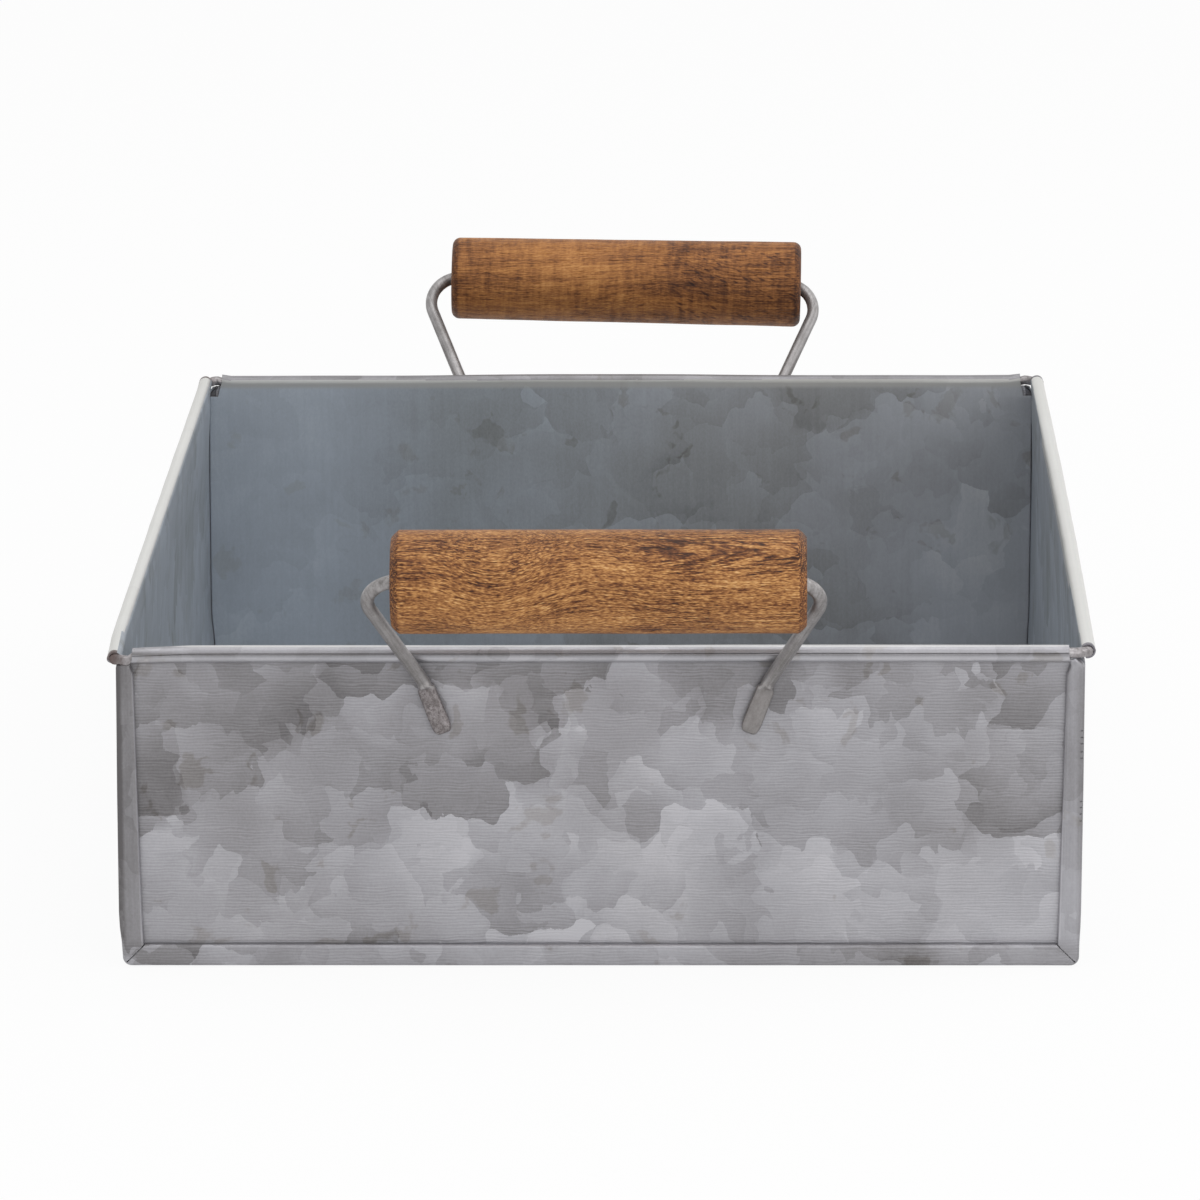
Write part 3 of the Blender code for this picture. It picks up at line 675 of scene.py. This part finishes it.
def seam_shift(x, y, z, side, end):
    """Waves of the seam's strips, and their pinched and rounded upper ends."""
    inward = HALF_WIDTH - abs(x)
    strip = 1 - ease(inward, SEAM_WIDTH - 0.4 * MM, SEAM_WIDTH + 3 * MM)
    lower = 1 - ease(z, SEAM_WIDTH - 0.4 * MM, SEAM_WIDTH + 3 * MM)
    out = ease(abs(y), PANEL_FACE - 0.2 * MM, PANEL_FACE + COVER_OUT)
    dy = end * SEAM_WAVE * waves(x, 0, z, 12 * MM, 5.3) * max(strip, lower) * out
    pinch = ease(z, SEAM_TOP - 3 * MM, SEAM_TOP) * (1 - ease(inward, 3 * MM, 4 * MM))
    dy += (end * (PANEL_FACE + FLANGE_OUT) - y) * SEAM_PINCH * pinch
    dy += end * PINCH_ROUGHNESS * waves(x, y, z, 1.6 * MM, 9.1) * pinch
    rise = BACK_SEAM_RISE if y > 0 else 0
    dz = (PINCH_WAVE * waves(x, y, 0, 2.2 * MM, 6.4) + rise) * pinch
    crown = ease(z, SEAM_TOP - 2.6 * MM, SEAM_TOP + 1 * MM)
    crown *= ease(abs(y), PANEL_FACE - 0.6 * MM, PANEL_FACE + 0.3 * MM)
    return -side * SEAM_CROWN * crown * (1 - ease(inward, 0, 3 * MM)), dy, dz


def formed(point):
    """The slight unevenness of bent sheet: bowed walls, wavy rims and hand-set seams."""
    x, y, z = point
    side = 1 if x > 0 else -1
    end = 1 if y > 0 else -1
    near_side = ease(abs(x), HALF_WIDTH - 8 * MM, HALF_WIDTH - 2 * MM)
    near_end = ease(abs(y), PANEL_FACE - 3 * MM, PANEL_FACE - 1 * MM)
    at_end = near_end > 0.5
    rim = ease(z, NECK_START, RIM_AXIS_UP)
    along = math.cos(math.pi * min(1, abs(y) / PANEL_FACE) / 2)
    corner = ease(HALF_WIDTH - abs(x), 3 * MM, 25 * MM) if at_end else along
    neck = RIM_NECK * ease(z, NECK_START - RIM_NECK_SPREAD, NECK_START)
    free = ease(HALF_WIDTH - abs(x), SEAM_WIDTH, 40 * MM) * ease(z, SEAM_WIDTH, 35 * MM)
    wave = PANEL_WAVE * waves(x, 0, z, 55 * MM, 3.1 + end) * free * (1 - rim)
    ripple = ROLL_WAVE * waves(x, y, 0, 14 * MM, 1.9) * rim * corner
    dx = side * (wall_out(x, y, z, rim, along) - neck) * near_side
    dy = (wave - end * neck) * near_end
    dz = rim_rise(x, y, corner, at_end) * rim
    if not at_end:
        return x + dx + side * ripple * near_side, y + dy, z + dz
    seam_x, seam_y, seam_z = seam_shift(x, y, z, side, end)
    return x + dx + seam_x, y + dy + end * ripple + seam_y, z + dz + seam_z


def crimped(point):
    """Marks of the crimping tool on the outer bend of the front right seam."""
    x, y, z = point
    if x < HALF_WIDTH - 1.2 * MM or y > -PANEL_FACE - 0.6 * MM:
        return point
    for height in CRIMP_HEIGHTS:
        away = abs(z - height * MM)
        if away < CRIMP_HALF_WIDTH:
            depth = CRIMP_DEPTH * (1 - away / CRIMP_HALF_WIDTH)
            return (x - depth, y + depth * 0.8, z)
    return point


class OpenSurface:
    """Collects faces by their corner points; corners in one place become one vertex."""

    def __init__(self):
        self.points = {}
        self.faces = []

    def corner(self, point):
        key = tuple(round(value / (0.001 * MM)) for value in point)
        return self.points.setdefault(key, (len(self.points), tuple(point)))[0]

    def face(self, *corners):
        ring = list(dict.fromkeys(self.corner(point) for point in corners))
        if len(ring) > 2:
            self.faces.append(ring)

    def strip(self, first, second):
        for i in range(len(first) - 1):
            self.face(first[i], first[i + 1], second[i + 1], second[i])

    def strips(self, rows):
        for i in range(len(rows) - 1):
            self.strip(rows[i], rows[i + 1])

    def mesh(self, name, *shapers):
        places = [point for _, point in self.points.values()]
        for shaper in shapers:
            places = [shaper(point) for point in places]
        made = bpy.data.meshes.new(name)
        made.from_pydata(places, [], self.faces)
        sheet = bmesh.new()
        sheet.from_mesh(made)
        bmesh.ops.recalc_face_normals(sheet, faces=sheet.faces)
        sheet.to_mesh(made)
        sheet.free()
        return made


def add_piece(node, mesh, body, materials, place=Matrix()):
    """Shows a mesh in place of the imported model's node."""
    piece = bpy.data.objects.new(f"{node}_skin", mesh)
    piece.matrix_world = place
    bpy.context.scene.collection.objects.link(piece)
    for material in materials:
        mesh.materials.append(material)
    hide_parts(node)
    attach(piece, body)
    return piece


def smooth(piece, angle=EDGE_ANGLE):
    piece.data.shade_smooth()
    piece.data.set_sharp_from_angle(angle=math.radians(angle))


def roll_profile(radius=ROLL_RADIUS, flare=RIM_LIP_FLARE):
    axis = (RIM_WIRE_OUT, RIM_AXIS_UP)
    inner = RIM_WIRE_OUT - radius
    points = [(inner, NECK_START), (inner, NECK_START + RIM_NECK_RISE)]
    points += arc(axis, radius, 180, RIM_GROOVE_ANGLE + RIM_GROOVE_SPREAD, ROLL_STEPS)
    for share, depth in ((0.45, 0.75), (0.0, 1.0)):
        turn = RIM_GROOVE_ANGLE + RIM_GROOVE_SPREAD * share
        points += arc(axis, radius - RIM_GROOVE_DEPTH * depth, turn, turn, 1)[:1]
    start = RIM_GROOVE_ANGLE - RIM_GROOVE_SPREAD * 0.8
    points += arc(axis, radius + flare, start, RIM_EDGE_ANGLE, LIP_STEPS)
    return points


def seam_end_heights():
    heights = [SEAM_NARROWED - SEAM_END_LENGTH * i / 8 for i in range(9)]
    top = [SEAM_TOP - (SEAM_TOP - NECK_START) * i / 4 for i in range(5)]
    return sorted({round(z, 7) for z in [*heights, *top]}, reverse=True)


def narrowing(height):
    taper = SEAM_TAPER * min((height - CORNER_RADIUS) / (SEAM_NARROWED - CORNER_RADIUS), 1)
    return taper + SEAM_END_NARROWING * ease(height, SEAM_NARROWED - SEAM_END_LENGTH, SEAM_NARROWED)


def tuck(height):
    return SEAM_DRAW + SEAM_END_TUCK * ease(height, NECK_START, SEAM_TOP)


def side_row(side, height):
    return lambda inward: (side * (HALF_WIDTH - inward), height)


def bottom_row(x):
    return lambda inward: (x, inward)


def corner_row(side, degrees):
    turn = math.radians(degrees)

    def place(inward):
        if inward >= CORNER_RADIUS:
            return (side * (HALF_WIDTH - inward), inward)
        reach = CORNER_RADIUS - inward
        across = HALF_WIDTH - CORNER_RADIUS + reach * math.cos(turn)
        return (side * across, CORNER_RADIUS - reach * math.sin(turn))

    return place


INNER_HALF = HALF_WIDTH - CORNER_RADIUS
ROLL_HALF = HALF_WIDTH - END_NOTCH_WIDTH
SEAM_END_ROWS = seam_end_heights()
LOWER_ROWS = spread(SEAM_END_ROWS[-1], CORNER_RADIUS, 4 * MM)[1:-1]
CRIMP_ROWS = [h * MM + d * CRIMP_HALF_WIDTH for h in CRIMP_HEIGHTS for d in (-1, -0.35, 0.35, 1)]
WALL_ROWS = sorted([*SEAM_END_ROWS, *LOWER_ROWS, *CRIMP_ROWS], reverse=True)
NECK_ROW = WALL_ROWS.index(min(WALL_ROWS, key=lambda z: abs(z - NECK_START)))
MITRE_COLUMNS = [side * (HALF_WIDTH - SEAM_WIDTH - 1 * MM) for side in (-1, 1)]
BOTTOM_XS = sorted([*spread(-ROLL_HALF, ROLL_HALF, GRID_STEP)[1:-1], *MITRE_COLUMNS])


def u_rows(heights):
    """Rows down one side, round the bottom and up the other, as (place, narrowing, tuck)."""
    turns = [90 * i / CORNER_STEPS for i in range(CORNER_STEPS + 1)]
    sides = []
    for side in (-1, 1):
        sides.append([(side_row(side, z), narrowing(z), tuck(z)) for z in heights])
        sides[-1] += [(corner_row(side, turn), 0, SEAM_DRAW) for turn in turns]
    bottom = [(bottom_row(x), 0, SEAM_DRAW) for x in BOTTOM_XS]
    return sides[0] + bottom + sides[1][::-1]


def cover_profile(narrow, lean):
    middle = (HOOK_OUT + COVER_OUT) / 2
    fold_in = COVER_FOLD_IN - narrow
    fold = arc((fold_in, middle), FOLD_RADIUS, -90, 90, FOLD_STEPS)
    hook_in = min(HOOK_EDGE_IN, fold_in - SHEET)
    bend = arc((COVER_IN + lean, COVER_OUT - SEAM_BEND), SEAM_BEND, 90, 180, BEND_STEPS)
    shoulder = [(min(CORNER_RADIUS, fold_in), COVER_OUT)]
    slit = (SHEET / 2 + lean, RELIEF_SLIT - SIDE_ROLL_SETBACK)
    return [(hook_in, HOOK_OUT)] + fold + shoulder + bend + [slit]


def squared(inward, middle):
    """Moves the inner half of a fold's arc out towards a square corner."""
    away = min((FLANGE_FOLD_IN - inward) / FOLD_RADIUS, 1)
    return middle - FOLD_RADIUS * (1 - max(away, 0) ** 5) ** 0.2


def flange_profile(narrow):
    middle = (PANEL_OUT + FLANGE_OUT) / 2
    edge_in = FLANGE_EDGE_IN - narrow
    fold = arc((FLANGE_FOLD_IN, middle), FOLD_RADIUS, 90, 270, 2 * FOLD_STEPS)
    fold = [(inward, out if out > middle else squared(inward, middle)) for inward, out in fold]
    shoulder = [(min(CORNER_RADIUS, edge_in), FLANGE_OUT)]
    return [(edge_in, FLANGE_OUT)] + shoulder + fold + [(CORNER_RADIUS, PANEL_OUT)]


def body_sheet_mesh():
    surface = OpenSurface()

    def seam_points(row, end):
        place, narrow, lean = row
        spots = [(*place(inward), out) for inward, out in cover_profile(narrow, lean)]
        return [(x, end * (PANEL_FACE + out), z) for x, z, out in spots]

    limit = PANEL_FACE - SIDE_ROLL_SETBACK
    lengths = spread(-limit, limit, GRID_STEP)

    def wall_points(row):
        x, z = row[0](SHEET / 2)
        return [(x, y, z) for y in lengths]

    rows = u_rows(WALL_ROWS)
    for end in (-1, 1):
        surface.strips([seam_points(row, end) for row in rows])
    walls = rows[NECK_ROW : len(rows) - NECK_ROW]
    surface.strips([[seam_points(row, -1)[-1], *wall_points(row), seam_points(row, 1)[-1]] for row in walls])
    profile = roll_profile(SIDE_ROLL_RADIUS, SIDE_ROLL_FLARE)
    profile[0] = (-SHEET / 2, WALL_ROWS[NECK_ROW])
    for side in (-1, 1):
        surface.strips([[(side * (HALF_WIDTH + out), y, z) for y in lengths] for out, z in profile])
    return surface.mesh("body_sheet_formed", crimped, formed)


def end_panel_mesh(name, end):
    surface = OpenSurface()
    heights = [z for z in WALL_ROWS[NECK_ROW:] if z not in CRIMP_ROWS]

    def points(row):
        place, narrow, _ = row
        spots = [(*place(inward), out) for inward, out in flange_profile(narrow)]
        return [(-end * x, end * (PANEL_FACE + out), z) for x, z, out in spots]

    surface.strips([points(row) for row in u_rows(heights)])
    columns = [-INNER_HALF, -ROLL_HALF, *BOTTOM_XS, ROLL_HALF, INNER_HALF]
    bottom = [-INNER_HALF, *BOTTOM_XS, INNER_HALF]
    out = end * (PANEL_FACE + PANEL_OUT)
    surface.strips([[(x, out, z) for x in columns] for z in heights])
    last = [(x, out, heights[-1]) for x in columns]
    low = [(x, out, CORNER_RADIUS) for x in bottom]
    surface.face(last[0], last[1], last[2], low[1], low[0])
    surface.strip(last[2:-2], low[1:-1])
    surface.face(last[-3], last[-2], last[-1], low[-1], low[-2])
    spans = columns[1:-1]
    profile = roll_profile()
    profile[0] = (PANEL_OUT, heights[0])
    surface.strips([[(x, end * (PANEL_FACE + out), z) for x in spans] for out, z in profile])
    return surface.mesh(name, formed)


def mitre_cutters():
    """Thin blades that part the seam's cover along the diagonals of the lower corners."""
    near, far = COVER_IN, SEAM_WIDTH + 2 * FOLD_GAP
    middle = (near + far) / 2
    out = PANEL_FACE + FOLD_GAP / 2 + SEAM_THICKNESS / 2
    for end in (-1, 1):
        for side in (-1, 1):
            bpy.ops.mesh.primitive_cube_add(size=1)
            cutter = bpy.context.object
            cutter.scale = ((far - near) * math.sqrt(2), SEAM_THICKNESS, MITRE_KERF)
            cutter.location = (side * (HALF_WIDTH - middle), end * out, middle)
            cutter.rotation_euler = (0, side * math.radians(45), 0)
            yield cutter


def faces_inside(centre, normal):
    x, y, z = centre
    reach = HALF_WIDTH + (1.3 * MM if z < NECK_START + RIM_NECK_RISE else 0)
    inside = abs(x) < reach and abs(y) < PANEL_FACE and z < WALL_HEIGHT - 1 * MM
    towards = normal.x * -x / BODY_WIDTH + normal.y * -y / BODY_LENGTH
    on_side = abs(x) > HALF_WIDTH - 1.5 * MM and normal.x * x < -0.3 * abs(x)
    on_end = abs(y) > PANEL_FACE - 1.5 * MM and normal.y * y < 0
    on_floor = z < 1.2 * MM and normal.z > 0.5
    return inside and (on_side or on_end or on_floor) and (towards > 0 or on_floor)


def make_sheet(node, mesh, materials, mitred=False):
    """A sheet with its thickness; its faces inside the tray get the second material."""
    piece = add_piece(node, mesh, "tray", materials)
    solid = piece.modifiers.new("Sheet thickness", "SOLIDIFY")
    solid.thickness = SHEET
    solid.offset = 0
    solid.use_even_offset = True
    solid.use_quality_normals = True
    cutters = list(mitre_cutters()) if mitred else []
    for cutter in cutters:
        cut = piece.modifiers.new("Mitre", "BOOLEAN")
        cut.operation = "DIFFERENCE"
        cut.object = cutter
    bpy.context.view_layer.update()
    graph = bpy.context.evaluated_depsgraph_get()
    mesh = bpy.data.meshes.new_from_object(piece.evaluated_get(graph))
    piece.modifiers.clear()
    piece.data = mesh
    for cutter in cutters:
        bpy.data.objects.remove(cutter)
    for polygon in mesh.polygons:
        polygon.material_index = 1 if faces_inside(polygon.center, polygon.normal) else 0
    smooth(piece)


def tube_mesh(name, rings, closed=False):
    """Faces between rings of points, with caps on an open tube."""
    made = bmesh.new()
    loops = [[made.verts.new(point) for point in ring] for ring in rings]
    pairs = list(zip(loops, loops[1:]))
    if closed:
        pairs.append((loops[-1], loops[0]))
    for first, second in pairs:
        for k in range(len(first)):
            after = (k + 1) % len(first)
            made.faces.new((first[k], first[after], second[after], second[k]))
    if not closed:
        made.faces.new(loops[0][::-1])
        made.faces.new(loops[-1])
    bmesh.ops.recalc_face_normals(made, faces=made.faces)
    mesh = bpy.data.meshes.new(name)
    made.to_mesh(mesh)
    made.free()
    return mesh


def make_rim_wire(material):
    x = HALF_WIDTH + RIM_WIRE_OUT - RIM_WIRE_BEND
    y = PANEL_FACE + RIM_WIRE_OUT - RIM_WIRE_BEND
    bends = []
    for sx, sy, start in ((1, 1, 0), (-1, 1, 90), (-1, -1, 180), (1, -1, 270)):
        bend = arc((sx * x, sy * y), RIM_WIRE_BEND, start, start + 90, RIM_BEND_STEPS)
        bends.append([Vector((*spot, RIM_AXIS_UP)) for spot in bend])
    loop = []
    for bend, after in zip(bends, bends[1:] + bends[:1]):
        loop += bend + spread_points(bend[-1], after[0], GRID_STEP / 2)
    rings = []
    for i, spot in enumerate(loop):
        along = (loop[(i + 1) % len(loop)] - loop[i - 1]).normalized()
        outward = Vector((along.y, -along.x, 0))
        centre = Vector(formed(spot))
        spokes = [outward * c + Vector((0, 0, 1)) * s for c, s in circle(RIM_WIRE_SIDES)]
        rings.append([centre + spoke * RIM_WIRE / 2 for spoke in spokes])
    mesh = tube_mesh("rim_wire_round", rings, closed=True)
    smooth(add_piece("rim_wire", mesh, "tray", [material]))


def rounded(before, corner, after, radius, steps):
    back, ahead = (before - corner).normalized(), (after - corner).normalized()
    half = back.angle(ahead) / 2
    inside = (back + ahead).normalized()
    centre = corner + inside * (radius / math.sin(half))
    first = corner + back * (radius / math.tan(half)) - centre
    last = corner + ahead * (radius / math.tan(half)) - centre
    axis = first.cross(last)
    sweep = first.angle(last)
    return [centre + Matrix.Rotation(sweep * i / steps, 3, axis) @ first for i in range(steps + 1)]


def handle_path(side, grip_length):
    """From a tab's foot to the grip's middle: (centre, direction, half width, half thickness, squareness)."""
    wire = HANDLE_WIRE / 2
    shoulder_x = grip_length / 2 + SHOULDER_OUT
    knee_x = shoulder_x - LEG_SPREAD
    foot = Vector((side * (knee_x - TAB_SPREAD), -TAB_OUT, -TAB_FOOT_DOWN))
    knee = Vector((side * knee_x, -WIRE_OUT, -HANDLE_KNEE_DOWN))
    shoulder = Vector((side * shoulder_x, -HANDLE_AXIS_OUT, HANDLE_AXIS_UP))
    middle = Vector((0, -HANDLE_AXIS_OUT, HANDLE_AXIS_UP))
    up = Vector((knee.x - foot.x, 0, knee.z - foot.z)).normalized()
    lower = rounded(knee - up * HANDLE_KNEE_BEND, knee, shoulder, HANDLE_KNEE_BEND, 8)
    upper = rounded(knee, shoulder, middle, HANDLE_SHOULDER_BEND, 24)
    tab_length = (lower[0] - foot).dot(up)
    width, thickness = TAB_WIDTH / 2, TAB_THICKNESS / 2
    sections = [(share, width * wide, thickness * thick, TAB_SQUARENESS) for share, wide, thick in TAB_SHAPE]
    neck = width * TAB_NECK_WIDTH
    for share, blend in TAB_NECK:
        squareness = TAB_SQUARENESS - (TAB_SQUARENESS - 2.0) * blend
        half = thickness + (wire - thickness) * blend
        sections.append((share, neck + (wire - neck) * blend, half, squareness))
    stations = []
    for share, wide, half, squareness in sections:
        centre = foot + up * tab_length * share
        centre.y = -TAB_TO_PANEL - half
        stations.append((centre, up, wide, half, squareness))
    leg = spread_points(lower[-1], upper[0], 3 * MM)
    run = [*lower[1:], *leg, *upper, *spread_points(upper[-1], middle, GRID_STEP), middle]
    for i, point in enumerate(run):
        behind = point - (run[i - 1] if i else lower[0])
        ahead = run[min(i + 1, len(run) - 1)] - point
        direction = (behind.normalized() + ahead.normalized()).normalized()
        stations.append((point, direction, wire, wire, 2.0))
    return stations


def spread_points(first, last, step):
    """Points between two ends, without the ends."""
    count = max(1, round((last - first).length / step))
    return [first + (last - first) * i / count for i in range(1, count)]


def handle_mesh(name, grip_length):
    """A loft from tab to tab through the grip."""
    left = handle_path(-1, grip_length)
    right = handle_path(1, grip_length)
    stations = left + [(c, -d, w, t, q) for c, d, w, t, q in reversed(right[:-1])]
    rings = []
    flat = Vector((0, -1, 0))
    for centre, direction, half_width, half_thickness, square in stations:
        flat = (flat - direction * flat.dot(direction)).normalized()
        across = direction.cross(flat)
        pressed = ease(square, 2.0, TAB_SQUARENESS)
        rough = TAB_ROUGHNESS[0] if centre.x < 0 else TAB_ROUGHNESS[1]
        ring = []
        for c, s in circle(HANDLE_WIRE_SIDES, 0.5):
            w = math.copysign(abs(c) ** (2 / square), c) * half_width
            t = math.copysign(abs(s) ** (2 / square), s) * half_thickness
            point = centre + across * w + flat * t
            if pressed > 0 and t > 0:
                point += flat * (rough * pressed * waves(*point, 0.9 * MM, 2.2))
            point += (across * c + flat * s) * WIRE_UNEVENNESS * waves(*point, 5 * MM, 4.4)
            ring.append(point)
        rings.append(ring)
    return tube_mesh(name, rings)


def grip_mesh(name, length, diameter, chamfer, cone):
    """A turned cylinder with bored, countersunk ends, slightly uneven from turning and sanding."""
    radius, half, bore = diameter / 2, length / 2, GRIP_BORE / 2
    outline = [(MOUTH_DEPTH - half, bore), (MOUTH_DEPTH / 2 - half, (bore + MOUTH_RADIUS) / 2)]
    outline += [(-half, MOUTH_RADIUS + (radius - chamfer - MOUTH_RADIUS) * k / 3) for k in range(3)]
    if cone:
        edge = arc((GRIP_EDGE_ROUND - half, radius - GRIP_EDGE_ROUND), GRIP_EDGE_ROUND, 180, 90, 8)
    else:
        edge = [(inward * MM - half, radius - below * MM) for inward, below in FRONT_GRIP_EDGE]
    outline += edge
    start = edge[-1][0]
    straight = spread(start, -start, 3 * MM)
    outline += [(x, radius) for x in straight[1:-1]]
    outline += [(-x, r) for x, r in reversed(outline[: len(outline) - len(straight) + 2])]
    rings = []
    for x, r in outline:
        ring = []
        for y, z in circle(GRIP_SIDES):
            uneven = 0.0
            if r > MOUTH_RADIUS:
                uneven = cone * x / half
                uneven += 0.09 * MM * noise.noise(Vector((x / (14 * MM), y * 1.6, z * 1.6 + diameter / MM)))
                uneven += 0.02 * MM * noise.noise(Vector((x / (3 * MM), y * 9, z * 9)))
            ring.append(Vector((x, y * (r + uneven), z * (r + uneven))))
        rings.append(ring)
    return tube_mesh(name, rings, closed=True)


def make_handles(wire_material, front_wood, back_wood):
    front_place = Matrix.Translation((FRONT_HANDLE_ASIDE, -PANEL_FACE, WALL_HEIGHT))
    back_place = Matrix.Translation((BACK_HANDLE_ASIDE, PANEL_FACE, WALL_HEIGHT))
    back_place = back_place @ Matrix.Rotation(math.pi, 4, "Z") @ Matrix.Rotation(-BACK_HANDLE_TILT, 4, "Y")
    front_shape = (FRONT_GRIP_LENGTH, FRONT_GRIP_DIAMETER, FRONT_GRIP_CHAMFER, 0)
    back_shape = (BACK_GRIP_LENGTH, BACK_GRIP_DIAMETER, BACK_GRIP_CHAMFER, -BACK_GRIP_CONE)
    for name, place, slid, shape, finish in (
        ("front", front_place, FRONT_GRIP_ASIDE, front_shape, front_wood),
        ("back", back_place, -BACK_GRIP_ASIDE, back_shape, back_wood),
    ):
        wire, grip = f"{name}_handle_wire", f"{name}_grip"
        mesh = handle_mesh(f"{name}_handle_round", shape[0])
        smooth(add_piece(wire, mesh, "tray", [wire_material], place), HANDLE_EDGE_ANGLE)
        mesh = grip_mesh(f"{grip}_turned", *shape)
        slide = Matrix.Translation((slid, -HANDLE_AXIS_OUT, HANDLE_AXIS_UP - GRIP_DROP))
        smooth(add_piece(grip, mesh, grip, [finish], place @ slide), HANDLE_EDGE_ANGLE)


def make_stage():
    bpy.ops.mesh.primitive_plane_add(size=14, location=(0, 3, -0.4 * MM))
    floor = bpy.context.object
    floor.name = "floor"
    s = Shader("pale_floor")
    s.finish(Base_Color=(0.93, 0.93, 0.93), Roughness=0.9, Specular_IOR_Level=0.1)
    white = s.fill(s.add("ShaderNodeEmission"), Color=(1, 1, 1), Strength=1.0)
    blend = s.add("ShaderNodeMixShader", s.seen() * FLOOR_WHITENESS, s.output(s.principled), s.output(white))
    s.fill(s.tree.nodes["Material Output"], Surface=s.output(blend))
    floor.data.materials.append(s.material)
    floor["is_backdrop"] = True


def make_light():
    world = bpy.data.worlds.new("studio")
    bpy.context.scene.world = world
    world.use_nodes = True
    nodes = Nodes(world.node_tree)
    strength = nodes.seen() * (1.0 - WORLD_LIGHT) + WORLD_LIGHT
    nodes.fill(nodes.tree.nodes["Background"], Color=(1, 1, 1), Strength=strength)
    for name, place, aim, size, power in LAMPS:
        data = bpy.data.lights.new(name, "AREA")
        data.size = size
        data.energy = power
        lamp = bpy.data.objects.new(name, data)
        lamp.location = place
        lamp.rotation_euler = (Vector(aim) - Vector(place)).to_track_quat("-Z", "Y").to_euler()
        bpy.context.scene.collection.objects.link(lamp)


def make_camera():
    yaw, pitch, roll = (math.radians(angle) for angle in CAMERA_TURN)
    forward = Vector((math.sin(yaw) * math.cos(pitch), math.cos(yaw) * math.cos(pitch), -math.sin(pitch)))
    right = Vector((math.cos(yaw), -math.sin(yaw), 0))
    up = right.cross(forward)
    turned_right = right * math.cos(roll) + up * math.sin(roll)
    turned_up = up * math.cos(roll) - right * math.sin(roll)
    data = bpy.data.cameras.new("camera")
    data.sensor_width = SENSOR_WIDTH
    data.lens = FOCAL_PIXELS / FRAME_PIXELS * SENSOR_WIDTH
    data.clip_start = 0.1
    data.clip_end = 60
    camera = bpy.data.objects.new("camera", data)
    axes = Matrix((turned_right, turned_up, -forward)).transposed().to_4x4()
    camera.matrix_world = Matrix.Translation(CAMERA_PLACE) @ axes
    bpy.context.scene.collection.objects.link(camera)
    bpy.context.scene.camera = camera


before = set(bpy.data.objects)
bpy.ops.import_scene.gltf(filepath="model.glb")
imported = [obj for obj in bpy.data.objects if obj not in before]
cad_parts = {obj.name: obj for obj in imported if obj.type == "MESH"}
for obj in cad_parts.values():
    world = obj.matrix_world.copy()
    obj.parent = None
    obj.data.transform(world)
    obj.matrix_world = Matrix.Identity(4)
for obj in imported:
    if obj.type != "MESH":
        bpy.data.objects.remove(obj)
cad_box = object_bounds()

sheet_outside = outer_zinc("galvanized_sides", (13, 47, 5), seams=True)
panel_outside = outer_zinc("galvanized_ends", (0, 0, 0))
# Faces inside the tray take the lighter, bluer shades, which are painted light
sheet_inside = inner_zinc("galvanized_floor", (71, 19, 88), 0.25)
panel_inside = inner_zinc("galvanized_ends_inside", (151, 33, 24), 0.42, end_panel=True)
steel = drawn_wire("satin_wire", HANDLE_STEEL, 0.45, tabs=True)
bright_steel = drawn_wire("rim_wire_bright", RIM_STEEL, 0.35, brown=RIM_BROWN)
front_wood = wood("front_wood", (0, 0, 0), FRONT_WOOD, FRONT_GRIP_LENGTH / MM / 2, FRONT_GRAIN)
back_wood = wood("back_wood", (210, 40, 90), BACK_WOOD, BACK_GRIP_LENGTH / MM / 2, BACK_GRAIN)

make_sheet("body_sheet", body_sheet_mesh(), [sheet_outside, sheet_inside], mitred=True)
for name, end in (("front_end_panel", -1), ("back_end_panel", 1)):
    make_sheet(name, end_panel_mesh(f"{name}_formed", end), [panel_outside, panel_inside])
make_rim_wire(bright_steel)
make_handles(steel, front_wood, back_wood)
make_stage()
make_light()
make_camera()
bpy.context.scene.view_settings.view_transform = "Standard"

str([[list(corner) for corner in box] for box in (cad_box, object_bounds())])
